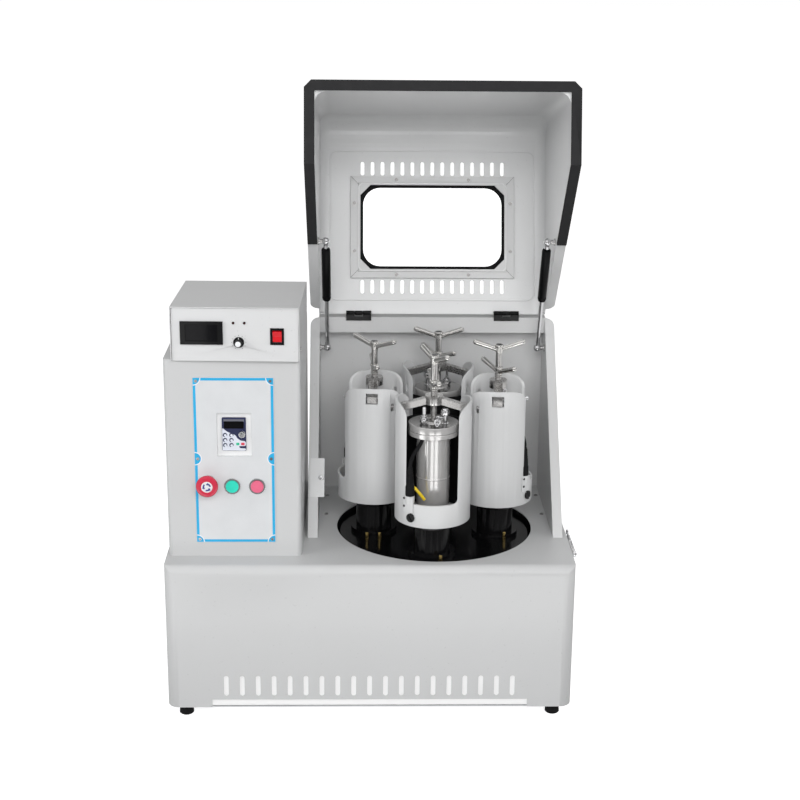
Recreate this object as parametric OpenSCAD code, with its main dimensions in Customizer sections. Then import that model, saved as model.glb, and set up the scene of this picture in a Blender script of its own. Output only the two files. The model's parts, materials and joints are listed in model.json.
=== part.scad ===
// Bench planetary ball mill: four jars on a turntable in a hooded chamber, shown with its hood open.
// Millimetres, +Z up, X to the right, the front looks along -Y. The origin is on the bench under the machine.
// Every piece is drawn about the middle of the base, and place() sets the whole machine over the origin.

/* [Base cabinet] */
// Width of the base cabinet
base_w = 750; // [740:1:770]
// Depth of the base cabinet
base_d = 470; // [464:1:480]
// Height of the deck above the bench
deck_z = 303; // [303:1:303]
// Height of the rubber feet
foot_h = 25; // [18:1:30]
// Radius of the cabinet's upright corners
base_corner_r = 22; // [14:1:26]
// Radius of the fold between front and deck
base_fold_r = 18; // [10:1:20]
// Number of vent slots along the front
base_slots = 19; // [9:2:21]

/* [Sheet metal] */
// Thickness of the painted sheet
sheet = 2; // [2:0.5:2.5]

/* [Chamber and hood] */
// Middle of the chamber across the machine
chamber_x = 124; // [124:1:128]
// Half of the clear width inside chamber and hood
chamber_half = 224; // [222:1:226]
// Width of the sealing flange that turns outwards
flange_w = 18.5; // [14:0.5:20]
// Radius of the round well in the deck
well_r = 188; // [186:1:190]
// How far the hood is swung up in the rest pose
hood_open = 102.87; // [102.87:0.01:102.87]
// Radius of the hood's front bend
hood_bend_r = 62; // [50:1:66]
// Number of vent slots in each row of the hood
hood_slots = 15; // [9:2:15]

/* [Jars] */
// Distance from the turntable's axis to each jar's axis
orbit_r = 117; // [116:1:118]
// Turn of the jar ring away from square, seen from above
orbit_turn = -4.5; // [-10:0.5:10]
// Outer radius of a jar holder
holder_r = 70; // [68:1:70]
// Radius of a jar's body
jar_r = 31; // [28:1:34]
// Teeth on the sun gear and on each planet gear
gear_teeth = 39; // [39:1:39]

/* [Control tower] */
// Width of the control tower
tower_w = 244; // [240:1:246]
// Height of the tower's top above the bench
tower_z = 677; // [670:1:690]
// Width of the power supply box on top
box_w = 228; // [220:1:228]
// Height of the power supply box
box_h = 98; // [94:1:104]
// Turn of the power supply box on the tower
box_turn = -1.5; // [-2:0.5:0]

/* [Hidden] */
$fn = 64;

white = "#e6e7e8";
pale = "#d9dadb";
grey = "#b9bbbd";
steel = "#b9bcc0";
black = "#17181a";

// Base cabinet, measured from the middle of its footprint
front_y = -base_d / 2;
back_y = base_d / 2;
base_z = foot_h;
floor_t = 3;
lip_w = 18;
slot_pitch = 29.4;
slot_wide = 9;
slot_low = 48;
slot_high = 89;
notch_half = 292;
notch_h = 16;
foot_x = 343;
foot_y = 205;
foot_r = 13.5;

// Turntable and drive, one on top of the other; each jar's spindle runs in two small bearings
disc_x = chamber_x;
disc_y = -17;
disc_r = 182;
disc_low = 276;
disc_top = 292;
well_floor = 217;
well_wall = 3;
shaft_r = 22;
running = 0.05;
// Gap that keeps bolted or pressed pieces of one group apart as solids
seam = 0.04;
housing_low = 118;
housing_r = 55;
bearing_r = 40;
gear_low = 238;
gear_h = 18;
gear_module = orbit_r / gear_teeth;
belt_low = 56;
belt_h = 24;
big_pulley_r = 75;
small_pulley_r = 32;
belt_t = 5;
motor_x = -190;
motor_y = -17;
motor_r = 72;
motor_low = 108;
motor_top = 282;
motor_shaft_r = 12;

// Chamber flange: a line up from the deck to the top beam, in the plane across X
flange_y0 = -86;
flange_y1 = 171;
beam_top = 671;
beam_low = 640;
beam_front = 171;
chamber_back = 205;
flange_run = [flange_y1 - flange_y0, beam_top - deck_z];
flange_len = norm(flange_run);
flange_dir = flange_run / flange_len;
flange_out = [-flange_dir[1], flange_dir[0]];
flange_tilt = atan2(flange_dir[1], flange_dir[0]);
flange_round = 17;
chamber_l = chamber_x - chamber_half;
chamber_r = chamber_x + chamber_half;

// Hood, drawn shut and then swung up about its hinge
hinge_y = 176;
hinge_z = 679;
hood_front = -213;
hood_rear = 178;
hood_rear_z = 698.4;
hood_slope = 4.57;
seal_gap = 0.4;
seal_t = 5;
hood_low = deck_z + seal_gap + seal_t;
rim_gap = seal_gap + seal_t;
hinge_knuckle_r = 4.5;
hinge_pin_r = 2.5;
hinge_len = 50;
hinge_xs = [chamber_x - 147, chamber_x + 147];
window_y = 5;
window_w = 288;
window_d = 168;
window_cut = 20;
frame_w = 328;
frame_d = 204;
frame_t = 9;
glass_t = 5;

// Gas struts, one on each side
strut_half = 209;
strut_low = [155, 613.3];
strut_high = [48, 847.7];
strut_run = strut_high - strut_low;
strut_len = norm(strut_run);
strut_tilt = atan2(strut_run[1], strut_run[0]);
strut_eye_r = 7;
strut_eye_w = 12;
strut_tube_r = 8.5;
strut_tube_len = 128;
strut_rod_r = 4;
// Where the piston sits along the strut, inside the tube at both ends of its travel
strut_piston = 126;
strut_pin_r = 4;
strut_gap = 0.3;

// Jars and what holds them
planet_xy = [for (i = [0:3]) orbit_r * [cos(270 + orbit_turn + 90 * i), sin(270 + orbit_turn + 90 * i)]];
cup_floor = 366.5;
cup_wall = 4;
cup_floor_t = 6;
cup_lip = 410;
lobe_top = 594;
slot_half = 47;
spindle_r = 12.5;
spindle_flange_r = 42;
pedestal_r = 34;
pedestal_top = 350;
small_bearing_r = 24;
small_bearing_h = 14;
small_bearing_zs = [disc_low - 12, pedestal_top - small_bearing_h];
jar_low = cup_floor + cup_floor_t;
jar_neck = 527;
jar_top = 549.5;
jar_flange_r = 46;
jar_bore = 26;
jar_lid_z = 536.5;
beam_z = 592;
beam_droop = 16;
screw_r = 6;
screw_foot_z = 552.2;
wing_rise = 19;
wing_arm = 47;
wing_rod_r = 4.6;
wing_hub_r = 7.8;
wing_hub_h = 17;
// Height of each upper lever, the turn of each upper lever and of each lower one, front jar first
wing_z = [667, 659, 652, 660];
lock_z = [620, 616, 612, 616];
wing_turn = [-62, 0, -3, -36];
lock_turn = [-82, -55, -50, -84];

// Draw latch on the right side of the base, and the lock plate on the left flange
latch_x = base_w / 2;
latch_pivot = [-158, 299];
latch_pin = 9;
lock_plate = [27, 77];
lock_plate_x = chamber_l - 15;
lock_plate_up = 80;
lock_plate_deep = 2.5;
lock_plate_proud = 0.2;

// Control tower, panel and power supply box
tower_x = -370;
tower_front = -176;
tower_back = 200;
panel_x = -318;
panel_z = 331;
panel_w = 144;
panel_h = 313;
panel_t = 1.5;
panel_face = tower_front - panel_t;
estop_at = [-294.8, 446.3];
start_at = [-251.1, 440];
stop_at = [-205.8, 440];
barrel_r = 11;
bezel_r = 15;
cap_r = 11.4;
keypad_at = [-268, 505.9];
keypad_size = [43.4, 62.6];
knob_at = [-231.8, 538.3];
box_x = -240;
box_front = -187;
box_d = 215;

// The open hood reaches furthest back and the latch furthest right: the footprint's middle follows from both
hood_back_y = max([for (p = hood_line(0)) swung(p)[0]]);
origin_y = -(front_y + hood_back_y) / 2;
origin_x = -latch_pin / 2;

// A point of the hood's side view after the hood is swung up
function swung(p) = [
    hinge_y + (p[0] - hinge_y) * cos(hood_open) + (p[1] - hinge_z) * sin(hood_open),
    hinge_z - (p[0] - hinge_y) * sin(hood_open) + (p[1] - hinge_z) * cos(hood_open)];

// Points of an arc, from one angle to another
function arc(centre, r, from, to, steps) =
    [for (i = [0:steps]) centre + r * [cos(from + (to - from) * i / steps), sin(from + (to - from) * i / steps)]];

module place() {
    translate([origin_x, origin_y, 0]) children();
}

// Extrudes a side view, drawn as Y across and Z up, from x0 to x1
module side_view(x0, x1) {
    translate([x0, 0, 0]) rotate([90, 0, 90]) linear_extrude(x1 - x0) children();
}

// Extrudes a front view, drawn as X across and Z up, from y0 back to y1
module front_view(y0, y1) {
    translate([0, y1, 0]) rotate([90, 0, 0]) linear_extrude(y1 - y0) children();
}

// A rectangle with true round corners, lower left corner at the origin
module round_rect(w, h, r) {
    translate([r, 0]) square([w - 2 * r, h]);
    translate([0, r]) square([w, h - 2 * r]);
    for (x = [r, w - r]) for (y = [r, h - r]) translate([x, y]) circle(r);
}

// A slot with round ends, centred, its long side along Y
module round_slot(w, h) {
    translate([-w / 2, -h / 2 + w / 2]) square([w, h - w]);
    for (s = [-1, 1]) translate([0, s * (h - w) / 2]) circle(w / 2, $fn = 24);
}

// A rectangle with its corners cut off, centred
module cut_rect(w, h, c) {
    polygon([[c - w / 2, -h / 2], [w / 2 - c, -h / 2], [w / 2, c - h / 2], [w / 2, h / 2 - c],
        [w / 2 - c, h / 2], [c - w / 2, h / 2], [-w / 2, h / 2 - c], [-w / 2, c - h / 2]]);
}

module ring(r_out, r_in, h) {
    difference() {
        cylinder(r = r_out, h = h);
        translate([0, 0, -1]) cylinder(r = r_in, h = h + 2);
    }
}

// A cylinder that lies along +X or +Y from where it stands
module rod_x(r, len) {
    rotate([0, 90, 0]) cylinder(r = r, h = len);
}
module rod_y(r, len) {
    rotate([-90, 0, 0]) cylinder(r = r, h = len);
}

// A round screw head with a cross recess, its face looking up
module screw_head(r, h) {
    difference() {
        cylinder(r = r, h = h);
        for (a = [0, 90]) rotate([0, 0, a]) translate([-0.6 * r, -0.15 * r, 0.5 * h]) cube([1.2 * r, 0.3 * r, h]);
    }
}

// BASE CABINET

module base_solid(inset) {
    r = base_corner_r - inset;
    fold = base_fold_r - inset;
    intersection() {
        translate([-base_w / 2 + inset, front_y + inset, 0]) linear_extrude(deck_z - inset)
            round_rect(base_w - 2 * inset, base_d - 2 * inset, r);
        side_view(-base_w, base_w) union() {
            translate([front_y + inset, 0]) square([base_d - 2 * inset, deck_z - inset - fold]);
            translate([front_y + inset + fold, 0]) square([base_d - 2 * inset - fold, deck_z - inset]);
            translate([front_y + inset + fold, deck_z - inset - fold]) circle(fold);
        }
    }
}

// Front, sides and deck are one folded sheet; the back is open and closed by the rear panel
module base_shell() color(white) {
    difference() {
        base_solid(0);
        base_solid(sheet);
        translate([-base_w, front_y - 1, -1]) cube([2 * base_w, base_d + 2, base_z + 1]);
        translate([-base_w / 2 + lip_w, back_y - sheet - 1, base_z + lip_w])
            cube([base_w - 2 * lip_w, sheet + 2, deck_z - base_z - 2 * lip_w]);
        translate([disc_x, disc_y, deck_z - 2 * sheet]) cylinder(r = well_r, h = 3 * sheet, $fn = 128);
        translate([-notch_half, front_y - 1, base_z - 1]) cube([2 * notch_half, sheet + 2, notch_h + 1]);
        for (i = [0:base_slots - 1])
            front_view(front_y - 1, front_y + sheet + 1)
                translate([(i - (base_slots - 1) / 2) * slot_pitch - 1, (slot_low + slot_high) / 2])
                    round_slot(slot_wide, slot_high - slot_low);
    }
}

// The chassis plate that carries the feet, the motor stand and the edge of the shell
module base_floor() color(grey) {
    w = base_w - 2 * (sheet + seam);
    d = base_d - 2 * (sheet + seam);
    difference() {
        translate([-w / 2, -d / 2, base_z]) linear_extrude(floor_t) round_rect(w, d, base_corner_r - sheet);
        for (x = [-1, 1]) for (y = [-1, 1])
            translate([x * foot_x, y * foot_y, base_z - 1]) cylinder(r = 4.2, h = floor_t + 2);
    }
    for (s = [-1, 1])
        translate([-w / 2 + 60, s * 150 - 10, base_z + floor_t]) cube([w - 120, 20, 12]);
}

module rear_panel() color(pale) {
    difference() {
        translate([-base_w / 2 + 8, back_y, base_z + 8]) cube([base_w - 16, sheet, deck_z - base_z - 16]);
        for (row = [0:2]) for (i = [0:11])
            front_view(back_y - 1, back_y + sheet + 1)
                translate([60 + i * 20, 90 + row * 62]) round_slot(7, 44);
        translate([-250, back_y - 1, 96]) cube([28, sheet + 2, 21]);
    }
    for (x = [-1, 1]) for (z = [base_z + 16, deck_z - 16])
        translate([x * (base_w / 2 - 18), back_y + sheet, z]) rotate([-90, 0, 0]) screw_head(4.5, 2.2);
}

// A three pin chassis inlet with its flange, set in the rear panel
module power_inlet() color(black) {
    difference() {
        union() {
            translate([-258, back_y + sheet, 90]) cube([44, 3, 33]);
            translate([-249.6, back_y - 22, 96.4]) cube([27.2, 24, 20.2]);
        }
        translate([-247, back_y - 12, 99]) cube([22, 40, 15]);
    }
    for (x = [-242, -236, -230])
        translate([x - 1, back_y - 13, 104]) cube([2, 12, 5]);
}

module rubber_feet() color(black) {
    for (x = [-1, 1]) for (y = [-1, 1]) translate([x * foot_x, y * foot_y, 0]) {
        rotate_extrude() polygon([[0, 0], [foot_r - 2, 0], [foot_r, 2], [foot_r - 1.5, foot_h], [0, foot_h]]);
        translate([0, 0, foot_h]) cylinder(r = 4, h = floor_t + 3);
    }
}

// TURNTABLE AND DRIVE

// The black pan under the deck, with the bearing housing bolted below it and its two bearings
module turntable_well() translate([disc_x, disc_y, 0]) {
    color(black) {
        difference() {
            union() {
                translate([0, 0, well_floor]) cylinder(r = well_r + well_wall, h = deck_z - sheet - well_floor, $fn = 128);
                translate([0, 0, deck_z - sheet - 3]) cylinder(r = well_r + 12, h = 3, $fn = 128);
            }
            translate([0, 0, well_floor + well_wall]) cylinder(r = well_r, h = deck_z, $fn = 128);
            translate([0, 0, well_floor - 1]) cylinder(r = shaft_r + 4, h = 10);
        }
    }
    color(grey) difference() {
        translate([0, 0, housing_low]) cylinder(r = housing_r, h = well_floor - housing_low - seam);
        translate([0, 0, housing_low - 1]) cylinder(r = shaft_r + 4, h = 200);
        for (z = [housing_low - 1, well_floor - 18]) translate([0, 0, z]) cylinder(r = bearing_r, h = 19);
    }
    color(steel) for (z = [housing_low, well_floor - 18]) translate([0, 0, z])
        ring(bearing_r - seam, shaft_r + running, 18 - 2 * seam);
}

// Tooth centres lie at whole steps from +X
module gear(phase) {
    root = orbit_r / 2 - 1.25 * gear_module;
    tip = orbit_r / 2 + 0.8 * gear_module;
    step = 360 / gear_teeth;
    rotate([0, 0, phase]) linear_extrude(gear_h) polygon([for (i = [0:gear_teeth - 1]) each [
        root * [cos((i - 0.34) * step), sin((i - 0.34) * step)],
        tip * [cos((i - 0.12) * step), sin((i - 0.12) * step)],
        tip * [cos((i + 0.12) * step), sin((i + 0.12) * step)],
        root * [cos((i + 0.34) * step), sin((i + 0.34) * step)]]]);
}

module sun_gear() color(steel) translate([disc_x, disc_y, 0]) difference() {
    union() {
        translate([0, 0, gear_low]) gear(0);
        translate([0, 0, well_floor + well_wall]) cylinder(r = 34, h = gear_low - well_floor - well_wall);
    }
    translate([0, 0, well_floor]) cylinder(r = shaft_r + 4, h = 60);
}

// The disc with its hub and four pedestals, and the two bearings in each pedestal
module turntable() translate([disc_x, disc_y, 0]) {
    color(black) difference() {
        union() {
            translate([0, 0, disc_low]) cylinder(r = disc_r, h = disc_top - disc_low, $fn = 128);
            translate([0, 0, disc_low - 14]) cylinder(r = 44, h = 20);
            for (p = planet_xy) translate([p[0], p[1], disc_low - 12])
                cylinder(r = pedestal_r, h = pedestal_top - disc_low + 12);
            for (p = planet_xy) translate([p[0], p[1], disc_top]) cylinder(r = pedestal_r + 10, h = 8);
        }
        translate([0, 0, disc_low - 20]) cylinder(r = shaft_r + seam, h = 30);
        for (p = planet_xy) translate([p[0], p[1], 0]) {
            translate([0, 0, disc_low - 20]) cylinder(r = spindle_r + 2, h = pedestal_top);
            translate([0, 0, disc_low - 20]) cylinder(r = small_bearing_r, h = small_bearing_h + 8);
            translate([0, 0, pedestal_top - small_bearing_h]) cylinder(r = small_bearing_r, h = small_bearing_h + 1);
        }
    }
    color(steel) for (p = planet_xy) for (z = small_bearing_zs) translate([p[0], p[1], z + seam])
        ring(small_bearing_r - seam, spindle_r + running, small_bearing_h - 2 * seam);
}

// The shaft, its shoulder on the upper bearing and the big pulley keyed to its lower end
module main_shaft() translate([disc_x, disc_y, 0]) {
    color(steel) translate([0, 0, belt_low - 8]) cylinder(r = shaft_r, h = disc_low + 10 - belt_low + 8);
    color(steel) translate([0, 0, well_floor + running]) cylinder(r = shaft_r + 3, h = 6);
    color(grey) pulley(big_pulley_r, shaft_r);
}

module pulley(r, bore) translate([0, 0, belt_low - 4]) difference() {
    rotate_extrude($fn = 96) polygon([[bore + seam, 0], [r + 6, 0], [r + 6, 3.4], [r - 0.3, 3.4],
        [r - 0.3, belt_h + 4.6], [r + 6, belt_h + 4.6], [r + 6, belt_h + 8], [bore + seam, belt_h + 8]]);
    for (a = [0:60:300]) rotate([0, 0, a]) translate([(r + bore) / 2, 0, -1])
        cylinder(r = (r - bore) / 5, h = belt_h + 10);
}

module motor_pulley() translate([motor_x, motor_y, 0]) {
    color(grey) pulley(small_pulley_r, motor_shaft_r);
    color(steel) translate([0, 0, belt_low - 8]) cylinder(r = motor_shaft_r, h = motor_low - belt_low + 10);
}

// A flat belt: its outline goes round both pulleys, drawn out from their rims by the distance given
belt_span = norm([disc_x - motor_x, disc_y - motor_y]);
belt_lean = asin((big_pulley_r - small_pulley_r) / belt_span);
function belt_line(out) = concat(
    arc([disc_x, disc_y], big_pulley_r + out, -90 - belt_lean, 90 + belt_lean, 48),
    arc([motor_x, motor_y], small_pulley_r + out, 90 + belt_lean, 270 - belt_lean, 24));
module drive_belt() color(black) translate([0, 0, belt_low]) linear_extrude(belt_h) difference() {
    polygon(belt_line(belt_t));
    polygon(belt_line(0.05));
}

// The motor stands head down on a plate with four posts
module drive_motor() translate([motor_x, motor_y, 0]) {
    color(grey) {
        difference() {
            translate([-90, -90, motor_low - 8]) cube([180, 180, 8]);
            translate([0, 0, motor_low - 9]) cylinder(r = 30, h = 10);
        }
        for (x = [-1, 1]) for (y = [-1, 1]) translate([x * 78, y * 78, base_z + floor_t])
            cylinder(r = 8, h = motor_low - 8 - base_z - floor_t);
    }
    color("#5c6670") difference() {
        union() {
            translate([0, 0, motor_low + seam]) cylinder(r = motor_r + 8, h = 12);
            translate([0, 0, motor_low + 12]) cylinder(r = motor_r - 7, h = motor_top - motor_low - 12);
            for (a = [0:15:345]) rotate([0, 0, a]) translate([0, -1.2, motor_low + 16])
                cube([motor_r, 2.4, 110]);
            translate([0, 0, motor_top - 40]) cylinder(r = motor_r, h = 40);
        }
        translate([0, 0, motor_low - 1]) cylinder(r = motor_shaft_r + running, h = 30);
    }
}

// CHAMBER

// Side wall seen from the side: the sloping front edge carries the flange
module chamber_side_view() {
    polygon([slope_point(0, 0), slope_point(flange_len, 0), [chamber_back + sheet, beam_top], [chamber_back + sheet, deck_z]]);
}

// A point of the side view, given by its way up the sloping edge and its height off the flange's face
function slope_point(way, off) = [flange_y0, deck_z] + way * flange_dir + off * flange_out;

// Where a line off the sloping edge meets the line equally high above the deck
function mitre(off) = slope_point(off * (1 - flange_out[1]) / flange_dir[1], off);

// A strip along the sloping edge in the side view
module slope_strip(from, to, low, high) {
    polygon([slope_point(from, low), slope_point(to, low), slope_point(to, high), slope_point(from, high)]);
}

// The frame of the sloping edge: X across, Y up the slope, Z off the face
module on_flange() {
    translate([0, flange_y0, deck_z]) rotate([flange_tilt, 0, 0]) children();
}

// Rounds the outer corner at the rear end of a strip along the sloping edge
module flange_end_cut(s, way, low, high) on_flange()
    translate([chamber_x + s * (chamber_half + flange_w), way, low]) mirror([s > 0 ? 1 : 0, 0, 0])
        linear_extrude(high - low) difference() {
            translate([-1, -flange_round]) square([flange_round + 1, flange_round + 1]);
            translate([flange_round, -flange_round]) circle(flange_round);
        }

module chamber_shell() color(pale) {
    foot = 6;
    for (s = [-1, 1]) {
        x_in = chamber_x + s * chamber_half;
        difference() {
            side_view(min(x_in, x_in + s * sheet), max(x_in, x_in + s * sheet)) chamber_side_view();
            lock_pocket();
        }
        rim_l = s > 0 ? chamber_r : chamber_l - flange_w;
        difference() {
            side_view(rim_l, rim_l + flange_w) polygon([slope_point(0, 0), slope_point(flange_len, 0),
                slope_point(flange_len, -sheet), slope_point(sheet * flange_out[1] / flange_dir[1], -sheet)]);
            lock_pocket();
            flange_end_cut(s, flange_len, -2 * sheet, 2 * sheet);
        }
        translate([s > 0 ? chamber_r : chamber_l - flange_w + foot, flange_y0 + 12, deck_z])
            cube([flange_w - foot, chamber_back - flange_y0 - 12, sheet]);
    }
    translate([chamber_l - sheet, chamber_back, deck_z]) cube([2 * chamber_half + 2 * sheet, sheet, beam_top - deck_z]);
    beam_l = chamber_l - 2;
    beam_len = 2 * chamber_half + 4;
    difference() {
        translate([beam_l, beam_front, beam_low]) cube([beam_len, chamber_back - beam_front, beam_top - beam_low]);
        translate([beam_l - 1, beam_front + sheet, beam_low - 1])
            cube([beam_len + 2, chamber_back - beam_front, beam_top - beam_low + 1 - sheet]);
    }
}

// HOOD

// Swings what is drawn shut up to the rest pose
module hood_place() {
    translate([0, hinge_y, hinge_z]) rotate([-hood_open, 0, 0]) translate([0, -hinge_y, -hinge_z]) children();
}

// Height of the hood's outer top skin over a point of its depth
function hood_top(y) = hood_rear_z + tan(hood_slope) * (hood_rear - y);

// The line of the hood from its front foot over the bend to the rear, drawn in from the outer skin by an inset
function hood_line(inset) = let (
        cy = hood_front + hood_bend_r,
        cz = hood_top(cy) - (hood_bend_r + sheet) / cos(hood_slope))
    concat([[hood_front - sheet + inset, hood_low]],
        arc([cy, cz], hood_bend_r + sheet - inset, 180, 90 - hood_slope, 12),
        [[hood_rear, hood_top(hood_rear) - inset / cos(hood_slope)]]);

module hood_side_view() {
    edge = rim_gap + sheet / 2;
    polygon(concat([[hood_front - sheet, hood_low + sheet / 2]], [for (i = [1:len(hood_line(0)) - 1]) hood_line(0)[i]],
        [[hood_rear, hinge_z + 6], slope_point(flange_len + 4, edge), slope_point(6, edge)]));
}

// Sheet on the hood's top skin: X across, Y towards the rear from the rear edge, Z out of the skin
module on_hood_top() {
    translate([chamber_x, hood_rear, hood_rear_z]) rotate([-hood_slope, 0, 0]) children();
}

module lid_shell() color(white) hood_place() {
    for (s = [-1, 1]) {
        x_in = chamber_x + s * chamber_half;
        side_view(min(x_in, x_in + s * sheet), max(x_in, x_in + s * sheet)) hood_side_view();
        rim_l = s > 0 ? chamber_r : chamber_l - flange_w;
        difference() {
            side_view(rim_l, rim_l + flange_w) polygon([[hood_front - 1, hood_low], mitre(rim_gap),
                slope_point(flange_len + 2, rim_gap), slope_point(flange_len + 2, rim_gap + sheet),
                mitre(rim_gap + sheet), [hood_front - 1, hood_low + sheet]]);
            flange_end_cut(s, flange_len + 2, rim_gap - 1, rim_gap + sheet + 1);
        }
    }
    difference() {
        side_view(chamber_l - sheet, chamber_r + sheet) polygon(concat(hood_line(0),
            [for (i = [len(hood_line(0)) - 1:-1:0]) hood_line(sheet)[i]]));
        on_hood_top() translate([0, window_y - hood_rear, -6]) linear_extrude(12) cut_rect(window_w, window_d, window_cut);
        on_hood_top() for (y = [-113, 124]) for (i = [0:hood_slots - 1])
            translate([(i - (hood_slots - 1) / 2) * 20, y - hood_rear, -6]) linear_extrude(12) round_slot(7, 27);
    }
    translate([chamber_l, hood_rear - sheet, hinge_z + 6]) cube([2 * chamber_half, sheet, hood_rear_z - hinge_z - 7]);
    difference() {
        translate([chamber_l - flange_w, hood_front - flange_w, hood_low])
            cube([2 * chamber_half + 2 * flange_w, flange_w, sheet]);
        hood_corner_cuts();
    }
}

// The hood's two front corners are cut off at the rim
module hood_corner_cuts() {
    for (s = [-1, 1]) translate([chamber_x + s * (chamber_half + flange_w), hood_front - flange_w, 0])
        rotate([0, 0, 45]) translate([-9, -9, deck_z]) cube([18, 18, 20]);
}

module lid_seal() color(black) hood_place() {
    seal_up = 0.52 * flange_len;
    z0 = hood_low - seal_t;
    difference() {
        union() {
            translate([chamber_l - flange_w, hood_front - flange_w, z0]) cube([2 * chamber_half + 2 * flange_w, flange_w, seal_t]);
            for (rim_x = [chamber_l - flange_w, chamber_r])
                side_view(rim_x, rim_x + flange_w) polygon([[hood_front - 1, z0], mitre(seal_gap),
                    slope_point(seal_up, seal_gap), slope_point(seal_up, rim_gap), mitre(rim_gap), [hood_front - 1, hood_low]]);
        }
        hood_corner_cuts();
    }
}

module window_frame() color(pale) hood_place() on_hood_top() translate([0, window_y - hood_rear, -sheet - frame_t]) {
    difference() {
        linear_extrude(frame_t) difference() {
            square([frame_w, frame_d], center = true);
            cut_rect(window_w, window_d, window_cut);
        }
        translate([0, 0, frame_t - glass_t]) linear_extrude(glass_t + 1) cut_rect(window_w + 16, window_d + 16, window_cut);
        translate([0, 0, -1]) linear_extrude(3) difference() {
            square([frame_w + 2, frame_d + 2], center = true);
            square([frame_w - 32, frame_d - 26], center = true);
        }
    }
}

module lid_window() color([0.8, 0.9, 0.95, 0.3]) hood_place() on_hood_top()
    translate([0, window_y - hood_rear, -sheet - glass_t]) linear_extrude(glass_t)
        cut_rect(window_w + 15, window_d + 15, window_cut);

// Eight screws of the window frame, and the two ball studs that the gas struts hold on to
module lid_screws() color(steel) {
    hood_place() on_hood_top() translate([0, window_y - hood_rear, -sheet - frame_t + 2]) {
        for (s = [-1, 1]) {
            for (x = [-72, 72]) translate([x, s * (frame_d / 2 - 7), 0]) rotate([180, 0, 0]) screw_head(3.4, 1.8);
            for (y = [-48, 48]) translate([s * (frame_w / 2 - 8), y, 0]) rotate([180, 0, 0]) screw_head(3.4, 1.8);
        }
    }
    stud = chamber_half - strut_half - strut_eye_w / 2 - strut_gap;
    for (s = [-1, 1]) translate([chamber_x + s * chamber_half, strut_high[0], strut_high[1]]) mirror([s > 0 ? 1 : 0, 0, 0]) {
        rod_x(strut_pin_r, stud);
        rod_x(7, 2.5);
    }
}

// Hinges: the fixed leaf has the two outer knuckles and the pin, the hood's leaf the middle one
module hinge_fixed_leaves() color(black) for (x = hinge_xs) {
    knuckle = hinge_len / 3;
    for (dx = [-hinge_len / 2, hinge_len / 2 - knuckle]) {
        translate([x + dx, hinge_y, hinge_z]) rod_x(hinge_knuckle_r, knuckle);
        translate([x + dx, beam_front - 2.5, beam_top]) cube([knuckle, hinge_y - beam_front + 2.5, hinge_z - beam_top - 2]);
    }
    translate([x - hinge_len / 2, hinge_y, hinge_z]) rod_x(hinge_pin_r, hinge_len);
    translate([x - hinge_len / 2, beam_front - 2.5, beam_top - 6]) cube([hinge_len, 2.5, 8]);
}

module hinge_lid_leaves() color(black) hood_place() for (x = hinge_xs) {
    knuckle = hinge_len / 3 - 0.8;
    difference() {
        union() {
            translate([x - knuckle / 2, hinge_y, hinge_z]) rod_x(hinge_knuckle_r, knuckle);
            translate([x - knuckle / 2, hood_rear - sheet - 2.5, hinge_z]) cube([knuckle, 2.5, 8]);
            translate([x - hinge_len / 2, hood_rear - sheet - 2.5, hinge_z + 7]) cube([hinge_len, 2.5, 10]);
        }
        translate([x - knuckle, hinge_y, hinge_z]) rod_x(hinge_pin_r + running, 2 * knuckle);
    }
}

// GAS STRUTS

// A strut's own frame: origin at its lower end, X across, Y along the strut to the hood
module strut_place(s) {
    translate([chamber_x + s * strut_half, strut_low[0], strut_low[1]]) rotate([strut_tilt, 0, 0]) children();
}

module strut_rod(s) color(steel) strut_place(s) {
    difference() {
        union() {
            translate([-strut_eye_w / 2, 0, 0]) rod_x(strut_eye_r, strut_eye_w);
            rod_y(5.5, 9);
            translate([0, 5, 0]) rod_y(strut_rod_r, strut_piston);
            translate([0, strut_piston, 0]) rod_y(strut_tube_r - 2, 6);
        }
        translate([-strut_eye_w, 0, 0]) rod_x(strut_pin_r + running, 2 * strut_eye_w);
    }
}

module strut_tube(s) color(black) strut_place(s) {
    start = strut_len - 12 - strut_tube_len;
    difference() {
        translate([0, start, 0]) rod_y(strut_tube_r, strut_tube_len);
        translate([0, start + 4, 0]) rod_y(strut_tube_r - 1.6, strut_tube_len - 8);
        translate([0, start - 1, 0]) rod_y(strut_rod_r + running, 8);
    }
    translate([0, strut_len - 13, 0]) rod_y(5.5, 13);
    translate([-strut_eye_w / 2, strut_len, 0]) rod_x(strut_eye_r, strut_eye_w);
}

module strut_rod_left() { strut_rod(-1); }
module strut_rod_right() { strut_rod(1); }
module strut_tube_left() { strut_tube(-1); }
module strut_tube_right() { strut_tube(1); }

// Left, the lock plate on the chamber's flange; right, the bracket of the draw latch on the base
module lid_catches() {
    color(pale) side_view(lock_plate_x, lock_plate_x + lock_plate[0])
        slope_strip(lock_plate_up, lock_plate_up + lock_plate[1], seam - lock_plate_deep, lock_plate_proud);
    color(steel) on_flange() translate([chamber_l + 6, lock_plate_up + 38, lock_plate_proud - 1]) {
        cylinder(r = 5.5, h = 4);
        cylinder(r = 2.6, h = 8);
    }
    color(steel) {
        translate([latch_x, latch_pivot[0] - 14, latch_pivot[1] - 50]) cube([1.5, 28, 54]);
        translate([latch_x, latch_pivot[0], latch_pivot[1]]) rod_x(2.5, latch_pin);
    }
}

// The pocket in the flange and in the wall's edge that the lock plate lies in
module lock_pocket() {
    side_view(lock_plate_x - seam, lock_plate_x + lock_plate[0] + seam)
        slope_strip(lock_plate_up - seam, lock_plate_up + lock_plate[1] + seam, -lock_plate_deep, sheet);
}

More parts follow.
